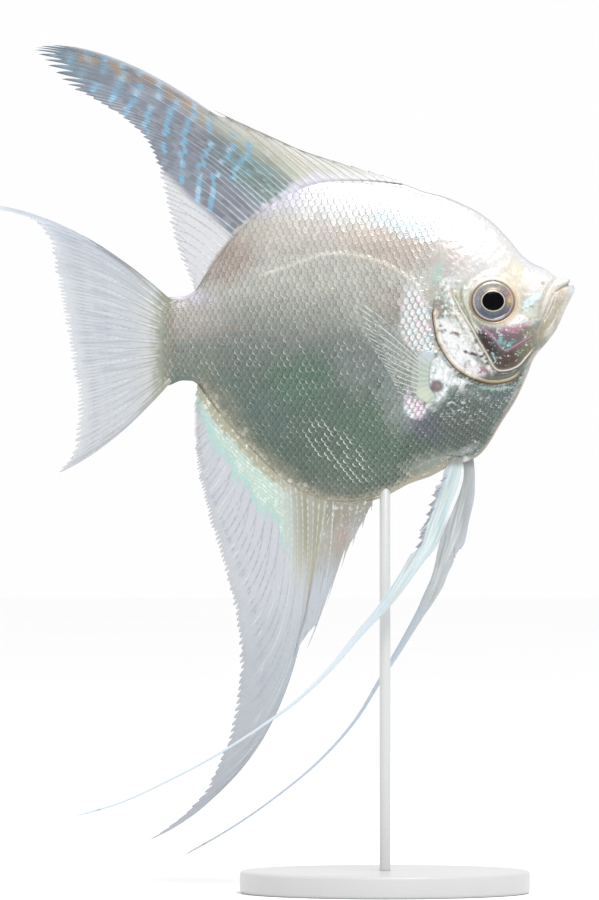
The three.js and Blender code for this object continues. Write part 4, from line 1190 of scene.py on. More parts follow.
def build_scales(skin):
    """The coat of scales: the right side, and its mirror image on the left, in a few pieces each."""
    scales = Scales(skin)
    a, b = scales.a.ravel(), scales.b.ravel()
    patch = np.stack([a - 0.5, b / 2], -1) * SCALE_PATCH
    patch = np.concatenate([patch, patch[scales.rim], patch[scales.rim].mean(0, keepdims=True)])
    tris, fours = scale_faces(scales.rim)
    size = scales.points.shape[1]
    pieces = math.ceil(len(scales.x) * (2 * len(fours) + len(tris)) / PIECE_TRIANGLES)
    looks = living_skin("fish_scale", 6000.0, 0.02, 0.27)
    order = np.argsort(-scales.x, kind="stable")
    for part, chosen in enumerate(np.array_split(order, pieces)):
        start = (np.arange(len(chosen)) * size)[:, None, None]
        faces = [(one[None] + start).reshape(-1, one.shape[1]) for one in (fours, tris)]
        for side, name in ((-1, "right"), (1, "left")):
            seat = skin_uv(scales.x[chosen], scales.share[chosen, len(a) // 2], side)
            make(
                f"scales_{name}_{part + 1}", scales.points[chosen].reshape(-1, 3) * np.array([1, -side, 1]),
                [f if side < 0 else f[:, ::-1] for f in faces], looks,
                scales.colour[chosen].reshape(-1, 4), (seat[:, None] + patch[None]).reshape(-1, 2),
            )


def rim_loop(shape):
    """The border of a grid of points, once round."""
    index = np.arange(shape[0] * shape[1]).reshape(shape)
    return np.concatenate([index[0], index[1:, -1], index[-1, -2::-1], index[-2:0:-1, 0]])


def scale_faces(rim):
    """One scale's underside as triangles, and its top and edge as quads."""
    cells = SCALE_SHAPE[0] * SCALE_SHAPE[1]
    k = np.arange(len(rim))
    after = np.roll(k, -1)
    wall = np.stack([rim[k], cells + k, cells + after, rim[after]], -1)
    under = np.stack([cells + k, np.full(len(rim), cells + len(rim)), cells + after], -1)
    return under, np.concatenate([quads(*SCALE_SHAPE), wall])


# ---- fins -------------------------------------------------------------------------------------

# The root and the tip of rays, (ray number, x, z), and how far they bow sideways, as in the solids;
# only the rear rays of the anal fin are numbered otherwise. crook is where along a ray it bows most,
# sway how far the tips stand out of the middle plane, front and rear are the ends of the root, and
# lead is how far up the first soft ray the webs of the spines run. off and lean are how far the
# pectoral fins stand off the flank, and how fast they lean away from it towards their tips.
DORSAL_FIN = {
    "crook": 0.68, "sway": 1.6, "front": 3.4, "rear": -37.9, "spines": 12, "lead": 0.33,
    "root": [(1, 3.4, 141.9), (5, -2.6, 142.6), (9, -10.4, 142.8), (12, -15.8, 142.1), (16, -21.4, 139.4),
             (20, -26.0, 135.9), (24, -30.8, 131.2), (27, -34.8, 125.6), (30, -37.9, 120.6)],
    "tip": [(1, 2.2, 142.9), (3, -3.4, 144.5), (5, -10.4, 146.5), (7, -16.8, 148.6), (9, -24.0, 151.8),
            (11, -31.4, 155.2), (12, -35.4, 157.1), (13, -65.6, 169.6), (14, -70.6, 168.9),
            (15, -68.0, 166.2), (16, -64.8, 162.4), (18, -55.0, 156.8), (20, -48.4, 151.2),
            (22, -45.6, 145.2), (24, -44.2, 139.4), (26, -43.0, 133.6), (28, -41.2, 127.4),
            (30, -38.8, 121.6)],
    "bow": [(1, 0.05), (12, 0.09), (13, 0.16), (30, 0.03)],
}
ANAL_FIN = {
    "crook": 0.69, "sway": -1.4, "front": -2.4, "rear": -37.4, "spines": 6, "lead": 0.31,
    "root": [(1, -2.4, 78.6), (4, -7.0, 77.6), (7, -12.0, 77.9), (10, -16.8, 79.7), (13, -21.4, 83.0),
             (18, -28.6, 90.3), (22, -33.6, 96.2), (26, -37.4, 101.6)],
    "tip": [(1, -2.8, 76.0), (2, -4.6, 72.8), (3, -6.6, 69.2), (4, -8.8, 65.0), (5, -12.1, 57.2),
            (6, -16.9, 46.6), (7, -48.0, 10.2), (8, -40.0, 16.0), (8.9, -35.2, 22.4), (10.5, -30.7, 34.4),
            (12.1, -29.3, 46.4), (13.8, -30.5, 57.2), (15.7, -33.2, 67.0), (17.6, -35.7, 75.6),
            (20.8, -38.1, 87.0), (23.4, -38.5, 94.6), (26, -38.1, 100.9)],
    "bow": [(1, -0.02), (6, -0.12), (7, -0.27), (26, -0.05)],
}
TAIL_FIN = {
    "crook": 0.6, "sway": 2.2, "front": -43.0, "rear": -43.0,
    "root": [(1, -43.0, 118.8), (9, -43.0, 110.4), (18, -43.0, 102.0)],
    "tip": [(1, -83.0, 138.0), (2, -70.6, 134.6), (3, -67.6, 131.0), (5, -65.9, 123.8), (8, -64.4, 115.6),
            (11, -62.9, 106.8), (14, -61.8, 98.6), (16, -62.0, 91.6), (17, -63.2, 87.0), (18, -66.0, 83.6)],
    "bow": [(1, 0.18), (18, -0.11)],
}
PECTORAL_FIN = {
    "crook": 0.6, "off": 0.4, "lean": 0.24,
    "root": [(1, 6.0, 107.8), (5, 6.4, 103.6), (9, 6.0, 99.2)],
    "tip": [(1, -7.0, 119.9), (2, -7.2, 116.8), (4, -4.2, 110.8), (6, -0.8, 105.8), (8, 1.4, 102.0),
            (9, 2.0, 100.2)],
    "bow": [(1, 0.08), (9, -0.1)],
}
FIN_HALF = 0.09  # half the thickness of the membrane between the rays
FIN_SINK = 0.04  # how far a fin's root reaches into the body, as a share of the ray
FIN_SUNK_HALF = 0.08  # half the thickness of that sunken edge


def ray_lines(spec, number):
    """Root, bend and tip of the rays with these numbers."""
    root, tip = (
        np.stack([through([(p[0], p[k]) for p in spec[key]])(number) for k in (1, 2)], -1)
        for key in ("root", "tip")
    )
    along = tip - root
    across = np.stack([along[:, 1], -along[:, 0]], -1) * through(spec["bow"])(number)[:, None]
    return root, root + along * spec["crook"] + across, tip


def spine_lines(spec, number):
    """As ray_lines for the spines, whose last web ends part of the way up the first soft ray."""
    spines, lead = spec["spines"], spec["lead"]
    last = ray_lines(spec, np.minimum(number, spines))
    root, bend, tip = ray_lines(spec, np.array([spines + 1.0]))
    end = (1 - lead) ** 2 * root + 2 * lead * (1 - lead) * bend + lead**2 * tip
    joint = root, root + lead * (bend - root), end
    past = np.clip(number - spines, 0, 1)[:, None]
    return [p * (1 - past) + q * past for p, q in zip(last, joint)]


def on_rays(lines, t):
    """Points of a grid: each ray of lines, at its own row of shares t."""
    root, bend, tip = (p[:, None] for p in lines)
    t = t[..., None]
    return (1 - t) ** 2 * root + 2 * t * (1 - t) * bend + t**2 * tip


def branches(j, t, splits):
    """How far each point lies from the nearest branch of a ray, in rays, and that branch's number.

    splits are the shares of a ray where it divides in two; j is the ray coordinate.
    """
    nearest, which = np.full(j.shape, 9.0), np.zeros(j.shape, np.int64)
    whole = np.round(j)
    for ray in (whole - 1, whole, whole + 1):
        for code in range(2 ** len(splits)):
            place = ray.copy()
            for level, share in enumerate(splits):
                sign = 1 if code >> level & 1 else -1
                place = place + sign * 0.25 / 2**level * smooth(share, min(share + 0.3, 1.0), t)
            d = np.abs(j - place)
            closer = d < nearest
            nearest = np.where(closer, d, nearest)
            which = np.where(closer, ray.astype(np.int64) * 8 + code, which)
    return nearest, which


def sheet(name, right, left, looks, colour, stands_for):
    """A closed thin sheet between two grids of points, with the same marks on both faces."""
    rows, columns = right.shape[:2]
    rim = rim_loop((rows, columns))
    n = rows * columns
    after = np.roll(rim, -1)
    wall = np.stack([rim, after, after + n, rim + n], -1)
    grid = quads(rows, columns)
    points = np.concatenate([right.reshape(-1, 3), left.reshape(-1, 3)])
    v, u = np.meshgrid(np.linspace(0, 1, rows), np.linspace(0, 1, columns), indexing="ij")
    uv = np.concatenate([
        np.stack([0.01 + 0.48 * u, 0.01 + 0.98 * v], -1).reshape(-1, 2),
        np.stack([0.51 + 0.48 * u, 0.01 + 0.98 * v], -1).reshape(-1, 2),
    ])
    shades = np.concatenate([colour.reshape(-1, 4)] * 2)
    make(name, points, [grid, grid[:, ::-1] + n, wall[:, ::-1]], looks, shades, uv, stands_for)


# What a fin is painted from, at every point of its sheet: the place, its share across the fin and
# along its ray, its depth from the root and what is left to the edge in mm, how much it lies on a
# ray, the branch it is nearest to, the web it lies in, and the distance to the middle of its ray.
Web = collections.namedtuple("Web", "x z share t depth left ray branch web aside")


def fin(name, lines_of, span, looks, paint, stands_for, style, middle):
    """A fin between two ray numbers of the solids, with a count of rays of its own.

    middle gives the sheet's y from the share of the ray, x and z.
    """
    first, last, rays = span
    columns, rows, splits = style["columns"], style["rows"], style["splits"]
    j = np.linspace(0, rays - 1, (rays - 1) * columns + 1)
    share = j / (rays - 1)
    lines = lines_of(first + share * (last - first))
    t = np.linspace(0, 1, rows)
    grid_t = np.broadcast_to(t, (len(j), rows))
    length = np.linalg.norm(np.diff(on_rays(lines, grid_t), axis=1), axis=2).sum(1)
    teeth = style["teeth"]
    place = teeth * j - (0.5 if teeth > 1 else 0)
    tooth = np.round(place).astype(np.int64)
    valley = np.abs(place - tooth) * 2
    cut = through(style["notch"])(share) * valley**1.3 * (0.6 + 0.8 * scatter(tooth, tooth * 0, 41))
    cut = cut + style["uneven"] * scatter(tooth, tooth * 0, 42)
    cell = np.minimum(np.floor(j).astype(np.int64), rays - 2)
    growth = np.diff(length[::columns])[cell]
    past = j - cell
    past = np.where(growth > 0, past, 1 - past)
    spike = 0.8 * past * smooth(1, 0.86, past) + 0.85 * smooth(0, 0.12, past) * (1 - past)
    cut = cut + style["spike"] * (np.abs(growth) * spike + 12 * past * (cell == rays - 2))
    reach = np.clip(1 - cut / length, 0.3, 1)[:, None]
    nearest, branch = branches(np.repeat(j[:, None], rows, 1), grid_t * reach, splits)
    grid_t = np.concatenate([np.full((len(j), 1), -FIN_SINK), grid_t * reach], 1)
    nearest, branch = (np.concatenate([v[:, :1], v], 1) for v in (nearest, branch))
    flat = on_rays(lines, grid_t)
    x, z = flat[..., 0], flat[..., 1]
    grid_t = np.clip(grid_t, 0, 1)
    spacing = np.linalg.norm(np.gradient(flat, axis=0), axis=2) * columns
    divided = sum((smooth(s, s + 0.3, grid_t) for s in splits), 0 * grid_t)
    gap = spacing / 2**divided
    width = np.minimum(style["ray"] * (1 - 0.5 * grid_t), 0.3 * gap)
    ray = bell(nearest * spacing, width) * smooth(0.15, 0.4, gap)
    web = Web(
        x, z, np.repeat(share[:, None], rows + 1, 1), grid_t, grid_t * length[:, None],
        (reach - grid_t) * length[:, None], ray, branch,
        np.repeat(np.floor(j).astype(np.int64)[:, None], rows + 1, 1),
        np.abs(j - np.round(j))[:, None] * spacing,
    )
    half = FIN_HALF + (style["root_half"] - 0.2) * (1 - grid_t) ** 3 + style["stand"] * ray
    half[:, 0] = FIN_SUNK_HALF
    y = middle(grid_t, x, z)
    right, left = np.stack([x, y - half, z], -1), np.stack([x, y + half, z], -1)
    sheet(name, right, left, looks, np.clip(paint(web), 0, 1), stands_for)


def swayed(spec):
    """The gentle sideways wave of a fin in the fish's middle plane."""
    span = spec["front"] - spec["rear"] + 20
    return lambda t, x, z: spec["sway"] * np.sin(2.2 * t + 1.5 * (spec["front"] - x) / span) * t


def ground(web, *colour):
    """A fin's sheet in one display colour."""
    return np.broadcast_to(rgb(*colour), web.x.shape + (3,)).copy()


def with_alpha(colour, alpha):
    return np.concatenate([colour, np.broadcast_to(alpha, colour.shape[:-1])[..., None]], -1)


def luck_of(number, seed):
    """A number from 0 to 1 for each ray or web."""
    return scatter(number, number * 0, seed)


def dashes(web, period, seed):
    """1 on the dashes of jointed rays, 0 between them."""
    return 0.5 + 0.5 * np.sin(2 * math.pi * (web.depth / period + luck_of(web.branch, seed)))


# Sky-blue bars across the soft dorsal fin: lines of (x, z).
DORSAL_BARS = [
    [(-65.9, 170.0), (-66.4, 168.4), (-66.0, 166.6), (-65.6, 165.0)],
    [(-62.5, 169.6), (-63.0, 168.0), (-63.4, 166.1), (-63.9, 164.2)],
    [(-58.9, 169.2), (-59.4, 167.6), (-60.2, 165.2), (-61.3, 162.6)],
    [(-55.4, 167.8), (-55.9, 166.2), (-57.3, 162.3), (-58.8, 160.2)],
    [(-51.9, 166.4), (-52.4, 164.8), (-53.5, 160.9), (-54.9, 158.0)],
    [(-48.4, 164.6), (-48.9, 163.0), (-50.1, 158.8), (-51.9, 156.0), (-52.0, 154.6)],
    [(-44.6, 162.5), (-45.1, 160.9), (-46.7, 157.1), (-47.5, 155.4), (-48.0, 151.6)],
    [(-41.0, 160.4), (-41.5, 158.8), (-43.0, 156.1), (-43.6, 153.3), (-44.2, 148.0)],
    [(-37.7, 157.8), (-38.2, 156.2), (-39.8, 153.0), (-40.3, 148.8), (-40.8, 144.7), (-41.0, 142.0)],
    [(-35.1, 155.4), (-35.6, 153.8), (-34.8, 149.9), (-36.3, 146.9), (-37.2, 144.0), (-37.9, 138.0)],
    [(-30.1, 151.8), (-30.6, 150.2), (-31.6, 147.2), (-33.6, 144.5), (-34.4, 141.6), (-35.4, 136.6)],
    [(-26.9, 150.0), (-27.4, 148.4), (-29.4, 145.2), (-30.6, 142.6)],
]
BAR_LINES = [curve(bar, 6) for bar in DORSAL_BARS]
# A row of bronze marks across its front, and the edge of its clear rear corner.
BRONZE_ROW = curve([
    (-60.5, 167.4), (-53.4, 164.8), (-46.8, 162.0), (-43.2, 160.1), (-39.8, 158.0), (-36.4, 155.2),
    (-33.0, 151.4),
])
WINDOW_EDGE = curve([
    (-80.0, 149.0), (-56.0, 151.4), (-49.5, 149.2), (-46.6, 146.2), (-42.7, 142.8), (-38.8, 138.9),
    (-35.4, 136.0), (-31.6, 132.2), (-27.0, 127.0),
])


def sheathed(colour, web, alpha):
    """The body's own colour carried up on to the foot of the dorsal fin."""
    ridge = back_at(web.x)
    body = marks(web.x, np.minimum(web.z, ridge - 0.9))[..., :3]
    tall = 0.5 + 1.9 * smooth(-24, -14, web.x)
    share = smooth(tall, 0.1 * tall, web.z - ridge + 0.7 * mottle(web.x, web.z, 0.9, 97))
    rows = [np.abs(2 * ((web.x + way * 0.8 * web.z) / 1.5 % 1) - 1) for way in (-1, 1)]
    net = smooth(0.7, 1.0, np.maximum(*rows))
    body = mixed(body, rgb(206, 198, 196), 0.6 * net)
    return with_alpha(mixed(colour, body, 0.85 * share), np.maximum(alpha, share))


def paint_dorsal(web):
    """Slate, with sky-blue bars, a bronze row, a teal and white foot and a clear rear corner."""
    x, z, t = web.x, web.z, web.t
    step = 0.9 * (luck_of(web.web, 50) - 0.5)
    bx, bz = x - 0.9 * step, z + 0.45 * step
    cell = scatter(web.web, np.floor(web.depth / 1.5 + 9 * luck_of(web.web, 54)).astype(np.int64), 55)
    colour = ground(web, 138, 145, 157) * (0.82 + 0.34 * cell)[..., None]
    colour = layered(
        colour,
        ((118, 134, 146), 0.7 * smooth(-52, -64, x)),
        ((96, 112, 124), 0.6 * spot(x, z, (-30.5, 146.5), (7, 3.0), -38)),
    )
    bronze, _ = near(bx, bz, BRONZE_ROW, 3)
    colour = mixed(colour, rgb(168, 140, 110), 0.9 * bell(bronze, 1.2) * smooth(0.1, 0.4, cell))
    teal = spot(x, z, (-25.4, 143.4), (7, 2.8), -38)
    colour = layered(
        colour,
        ((92, 128, 124), 0.85 * teal),
        ((110, 176, 186), 0.75 * teal * smooth(0.6, 0.8, cell)),
        ((168, 176, 152), 0.85 * spot(x, z, (-25.5, 148.6), (7, 2.0), -32)),
    )
    foot = spot(x, z, (-23.6, 142.0), (8.5, 3.6), -40)
    colour = layered(
        colour,
        ((132, 150, 144), 0.6 * foot),
        ((176, 206, 204), 0.7 * foot * fleck(x, z, 0.6, 98, 0.3)),
        ((84, 108, 106), 0.7 * foot * fleck(x, z, 0.6, 99, 0.3)),
        ((200, 204, 190), 0.8 * spot(x, z, (-28, 151.6), (10, 1.8), -27)),
        ((176, 184, 168), 0.7 * spot(x, z, (-19, 144.4), (4, 2.5), -30)),
    )
    pale = smooth(0.022, 0.004, web.share) * smooth(0.2, 0.4, t)
    colour = mixed(colour, rgb(204, 208, 216), 0.85 * pale)
    inside, _ = near(x, z, WINDOW_EDGE, 40)
    clear = smooth(0.9, -0.9, inside)
    colour = mixed(colour, rgb(220, 222, 226), clear)
    bars = np.zeros(x.shape)
    for line in BAR_LINES:
        off, along = near(bx, bz, line, 2)
        bar = smooth(0.62, 0.4, np.abs(off) + 0.12 * mottle(x, z, 0.5, 59))
        bars = np.maximum(bars, bar * (along > 0) * (along < 1))
    strong = smooth(0.02, 0.35, scatter(web.web, np.floor(web.depth / 2.2).astype(np.int64), 52))
    colour = layered(
        colour,
        ((126, 182, 212), 0.9 * bars * strong * (1 - 0.4 * clear) * (1 - 0.6 * pale)),
        ((188, 216, 234), 0.7 * bars * strong * smooth(0.6, 0.9, cell)),
    )
    # Near the root most rays carry a painted highlight along them, and the rest are brown.
    white = luck_of(web.branch // 8, 53) > 0.35
    line = np.where(white[..., None], rgb(232, 234, 238), rgb(190, 172, 152))
    share = (web.ray**2 * smooth(0.8, 0.25, t) * (0.5 + 0.3 * dashes(web, 1.9, 51)))[..., None] * np.ones(3)
    colour = colour * (1 - share) + line * share
    between = bell(web.aside - 0.62, 0.1) * smooth(0.7, 0.4, t)
    colour = mixed(colour, rgb(104, 108, 124), 0.5 * between * (1 - clear))
    dark = web.ray * smooth(0.3, 0.65, t) * (0.35 + 0.65 * dashes(web, 1.3, 56))
    colour = layered(
        colour,
        ((100, 106, 122), 0.6 * dark * (1 - clear)),
        ((140, 138, 144), 0.75 * clear * web.ray * (0.3 + 0.7 * dashes(web, 1.1, 57))),
        ((236, 238, 242), 0.85 * clear * smooth(4.5, 0.5, web.depth) * bell(web.aside, 0.2)),
    )
    tip = smooth(-61.0, -66.0, x)
    colour = layered(
        colour,
        ((92, 104, 116), 0.8 * tip * smooth(2.6, 0.3, web.left)),
        ((120, 134, 150), 0.5 * smooth(0.7, 0.1, web.left) * (1 - clear)),
    )
    alpha = 0.93 - 0.4 * clear * (1 - web.ray) - 0.25 * pale * (1 - web.ray)
    return sheathed(colour, web, alpha)


def paint_dorsal_spines(web):
    """Pale and fibrous, with brownish spines and a violet edge."""
    colour = ground(web, 216, 219, 214)
    colour = layered(
        colour,
        ((204, 207, 196), 0.8 * smooth(0.5, 0.95, web.share) * smooth(0.9, 0.3, web.t)),
        ((178, 190, 174), 0.7 * smooth(0.8, 1.0, web.share) * smooth(0.6, 0.1, web.t)),
        ((238, 240, 242), 0.7 * smooth(0.4, 0.1, web.share)),
    )
    fibres = mottle(web.share * 120, web.depth * 0.5, 1.0, 58)
    colour = layered(
        colour,
        ((246, 246, 240), 0.5 * smooth(0.3, 0.8, fibres) * smooth(0.4, 0.7, web.share)),
        ((190, 166, 136), 0.6 * smooth(0.45, 0.9, -fibres) * smooth(0.5, 0.8, web.share)),
        ((196, 180, 156), 0.7 * web.ray),
        ((122, 116, 150), 0.65 * smooth(0.35, 0.1, web.left)),
    )
    alpha = 0.72 + 0.25 * web.ray + 0.2 * smooth(0.5, 0.0, web.t)
    return sheathed(colour, web, alpha)


# How deep the glittering band along the anal fin's root is: (share from front to rear, mm).
GLITTER_DEPTH = through([
    (0, 22), (0.06, 19), (0.14, 16), (0.25, 11.4), (0.4, 7.4), (0.6, 5.4), (0.8, 4.0), (1.0, 1.6),
])


def paint_anal(web):
    """Pale lilac, with dark and light rays, golden in front and a glittering band along the root."""
    z, depth = web.z, web.depth
    colour = ground(web, 205, 208, 214)
    colour = layered(
        colour,
        ((188, 194, 202), 0.9 * smooth(64, 44, z)),
        ((180, 185, 193), 0.8 * smooth(40, 18, z)),
    )
    cell = scatter(web.web, np.floor(depth / 3.1).astype(np.int64), 60)
    colour = colour * (0.985 + 0.04 * cell)[..., None]
    pale = smooth(0.55, 0.9, luck_of(web.branch, 59))
    colour = layered(
        colour,
        ((150, 154, 168), 0.85 * web.ray * (1 - pale) * (0.5 + 0.5 * dashes(web, 1.6, 61))),
        ((238, 238, 234), 0.9 * web.ray * pale * (0.5 + 0.5 * dashes(web, 1.2, 62))),
    )
    front = smooth(0.34, 0.12, web.share)
    reach = GLITTER_DEPTH(web.share) * (0.8 + 0.34 * luck_of(web.web, 63)) * (1 - 0.12 * np.abs(web.aside))
    band = smooth(reach + 0.25, reach - 0.25, depth)
    step = depth / 0.56 + 3 * luck_of(web.web, 64)
    rung = 0.5 + 0.5 * np.sin(2 * math.pi * step + 1.2 * mottle(web.x, z, 1.3, 77))
    end = smooth(reach - 2.6, reach - 0.4, depth)
    near_body = smooth(1.9, 0.5, depth + 0.5 * mottle(web.x, z, 0.8, 76))
    twinkle = smooth(-0.2, 0.7, mottle(web.x, z, 0.45, 78))
    gleam = rung * (0.35 + 0.65 * twinkle) * (1 - 0.5 * end)
    glitter = mixed(ground(web, 176, 206, 196), rgb(246, 252, 248), gleam)
    glitter = layered(
        glitter,
        ((164, 204, 206), 0.45 * end),
        ((206, 202, 178), 0.9 * bell(web.aside, 0.17) * (1 - end)),
        ((166, 162, 138), 0.85 * near_body),
        ((236, 236, 222), 0.9 * near_body * fleck(web.x, z, 0.5, 65, 0.3)),
    )
    gold = mixed(ground(web, 176, 172, 154), rgb(156, 156, 134), smooth(12, 3, depth))
    gold = layered(
        gold,
        ((190, 178, 164), smooth(14, 24, depth)),
        ((240, 244, 238), 0.8 * web.ray * dashes(web, 1.0, 66)),
        ((160, 206, 208), 0.7 * web.ray * dashes(web, 0.8, 67) * smooth(14, 24, depth)),
    )
    colour = mixed(colour, glitter, band * (1 - front))
    fade = smooth(reach * 1.25, reach * 0.6, depth) * (0.75 + 0.25 * luck_of(web.web, 69))
    colour = mixed(colour, gold, front * fade)
    colour = mixed(colour, rgb(204, 207, 214), 0.9 * smooth(0.02, 0.008, web.share) * smooth(6, 14, depth))
    sparkle = front * smooth(46, 30, depth) * web.ray * dashes(web, 0.9, 68) * smooth(0.02, 0.06, web.share)
    colour = mixed(colour, rgb(176, 220, 222), 0.75 * sparkle * (1 - fade))
    alpha = 0.88 + 0.1 * band + 0.05 * web.ray - 0.12 * smooth(2.5, 0, web.left)
    return with_alpha(colour, alpha)


def paint_anal_spines(web):
    """Olive at the root and lilac at the tip, with glinting spines."""
    colour = ground(web, 186, 188, 192)
    low = smooth(70, 60, web.z)
    colour = layered(
        colour,
        ((176, 168, 152), 0.8 * smooth(0.25, 0.6, web.share) * (1 - low)),
        ((152, 152, 134), 0.8 * smooth(5.0, 1.0, web.depth)),
        ((178, 150, 148), 0.6 * spot(web.x, web.z, (-8.5, 71.5), (1.0, 4.5), -12)),
        ((200, 204, 214), 0.7 * low),
    )
    fibres = mottle(web.share * 70, web.depth * 0.35, 1.0, 75)
    colour = mixed(colour, rgb(150, 148, 156), 0.5 * smooth(0.3, 0.8, fibres))
    glint = web.ray * dashes(web, 0.9, 72)
    colour = layered(
        colour,
        ((246, 250, 248), 0.85 * glint * (1 - 0.6 * low)),
        ((160, 212, 214), 0.7 * fleck(web.x, web.z, 0.4, 73, 0.2) * smooth(0.3, 0.7, web.share)),
        ((240, 244, 240), 0.8 * fleck(web.x, web.z, 0.35, 74, 0.2) * smooth(66, 74, web.z)),
    )
    return with_alpha(colour, 0.9 + 0.1 * web.ray)


def paint_tail(web):
    """Pale lilac, with faint lanes, streaked borders, a lighter edge and the body's olive band."""
    x, z, t = web.x, web.z, web.t
    colour = ground(web, 210, 213, 216)
    colour = layered(
        colour,
        ((196, 203, 213), 0.85 * smooth(0.32, 0.05, web.share)),
        ((204, 210, 220), 0.6 * bell(web.share - 0.45, 0.12)),
    )
    lane = 0.5 + 0.5 * np.cos(2 * math.pi * (web.share * 16 - 0.5))
    colour = layered(
        colour,
        ((196, 203, 214), 0.25 * lane * smooth(0.15, 0.45, t)),
        ((168, 174, 188), 0.6 * web.ray * smooth(0.2, 0.45, t) * (0.5 + 0.5 * dashes(web, 1.4, 83))),
    )
    border = np.minimum(web.share, 1 - web.share)
    streaks = smooth(0.1, 0.7, mottle(web.share * 90, t * 5, 1.0, 84))
    colour = layered(
        colour,
        ((154, 154, 150), 0.7 * streaks * smooth(0.16, 0.03, border) * smooth(0.9, 0.3, t)),
        ((176, 182, 192), 0.4 * streaks * smooth(0.05, 0.2, t)),
    )
    near_root = smooth(0.42, 0.12, t)
    colour = layered(
        colour,
        ((228, 224, 206), 0.8 * near_root * bell(web.aside, 0.24)),
        ((140, 136, 124), 0.8 * near_root * bell(web.aside - 0.4, 0.12)),
        ((252, 250, 240), 0.8 * near_root * bell(web.aside, 0.12) * dashes(web, 1.3, 81)),
    )
    rim = smooth(0.06, 0.0, border)
    colour = mixed(colour, rgb(166, 170, 172), 0.55 * rim * smooth(0.75, 0.3, t))
    # Painted glints: teal-white feathery marks along the rays, about halfway out.
    feather_glint = bell(t - 0.46, 0.13) * smooth(0.55, 0.95, dashes(web, 1.1, 82)) * bell(web.aside, 0.3)
    colour = layered(
        colour,
        ((224, 246, 246), 0.9 * feather_glint * smooth(0.02, 0.1, border)),
        ((230, 233, 237), 0.5 * smooth(3.0, 0.5, web.left)),
        ((146, 150, 132), 0.9 * tail_band(x, z)),
    )
    alpha = 0.9 + 0.1 * smooth(0.3, 0.1, t) - 0.12 * smooth(3.0, 0.3, web.left) * (1 - web.ray)
    return with_alpha(colour, alpha)


def paint_pectoral(web):
    """Almost clear between fine pale rays."""
    colour = mixed(ground(web, 186, 190, 184), rgb(238, 241, 234), 0.9 * web.ray)
    colour = mixed(colour, rgb(120, 116, 108), 0.35 * smooth(0.6, 1.0, luck_of(web.branch, 91)) * web.ray)
    alpha = 0.05 + 0.84 * web.ray * smooth(1.2, 0.6, web.t) + 0.4 * smooth(0.15, 0.0, web.t)
    return with_alpha(colour, alpha)


# How a fin is built: columns to a ray and rows along it, where the rays divide, the teeth of its
# edge to a ray with their depth from front to rear and how uneven they are, how far the webs stop
# short of the spines, the half width and the height of a ray, and root_half, which thickens the fin
# towards its root.
SPINY = {
    "columns": 14, "rows": 50, "splits": (), "teeth": 1, "notch": [(0, 0.3), (0.5, 0.5), (1, 0.2)],
    "uneven": 0.1, "spike": 0.45, "ray": 0.26, "stand": 0.16, "root_half": 0.7,
}
ANAL_SPINY = {
    "columns": 20, "rows": 70, "splits": (), "teeth": 1, "notch": [(0, 0.4), (1, 0.4)],
    "uneven": 0.2, "spike": 0.85, "ray": 0.22, "stand": 0.14, "root_half": 0.7,
}
DORSAL_SOFT = {
    "columns": 12, "rows": 110, "splits": (0.5,), "teeth": 2,
    "notch": [(0, 4), (0.06, 7), (0.14, 6), (0.2, 3.5), (0.26, 1.8), (0.4, 1.4), (1, 1.8)],
    "uneven": 1.0, "spike": 0.0, "ray": 0.17, "stand": 0.09, "root_half": 0.7,
}
ANAL_SOFT = {
    "columns": 12, "rows": 120, "splits": (0.3, 0.6), "teeth": 4,
    "notch": [(0, 0.3), (0.1, 1.8), (0.4, 1.6), (1, 1.0)],
    "uneven": 0.7, "spike": 0.0, "ray": 0.17, "stand": 0.08, "root_half": 0.7,
}
TAIL = {
    "columns": 20, "rows": 95, "splits": (0.2, 0.42, 0.64), "teeth": 4,
    "notch": [(0, 0.3), (0.06, 0.9), (0.3, 1.5), (0.9, 1.5), (1, 1.2)],
    "uneven": 0.7, "spike": 0.0, "ray": 0.15, "stand": 0.09, "root_half": 0.6,
}
PECTORAL = {
    "columns": 12, "rows": 50, "splits": (0.4, 0.7), "teeth": 4, "notch": [(0, 0.6), (1, 0.6)],
    "uneven": 0.6, "spike": 0.0, "ray": 0.1, "stand": 0.03, "root_half": 0.45,
}


def build_fins():
    """The fins in the middle plane, then the pectoral fins, which stand off the flanks."""
    looks = membrane("fish_fin", 0.42)
    for name, part, spec, lines, span, paint, style in (
        ("dorsal_spines", "dorsal_fin_spiny", DORSAL_FIN, spine_lines, (1, 13, 13),
         paint_dorsal_spines, SPINY),
        ("dorsal_rays", "dorsal_fin_soft", DORSAL_FIN, ray_lines, (13, 30, 26), paint_dorsal, DORSAL_SOFT),
        ("anal_spines", "anal_fin_spiny", ANAL_FIN, spine_lines, (1, 7, 7), paint_anal_spines, ANAL_SPINY),
        ("anal_rays", "anal_fin_soft", ANAL_FIN, ray_lines, (7, 26, 27), paint_anal, ANAL_SOFT),
        ("tail_rays", "tail_fin", TAIL_FIN, ray_lines, (1, 18, 17), paint_tail, TAIL),
    ):
        fin(name, functools.partial(lines, spec), span, looks, paint, [part], style, swayed(spec))
    root_x = PECTORAL_FIN["root"][1][1]
    low, high = belly_at(root_x), back_at(root_x)

    def beside(side, t, x, z):
        flank = half_thickness(np.full(x.shape, root_x), (2 * z - high - low) / (high - low))
        return side * (flank + PECTORAL_FIN["off"] + PECTORAL_FIN["lean"] * np.clip(root_x - x, 0, None) * t)

    lines = functools.partial(ray_lines, PECTORAL_FIN)
    for side, name in ((-1, "right"), (1, "left")):
        fin(
            f"pectoral_{name}", lines, (1, 9, 11), looks, paint_pectoral, [f"pectoral_fin_{name}"],
            PECTORAL, functools.partial(beside, side),
        )


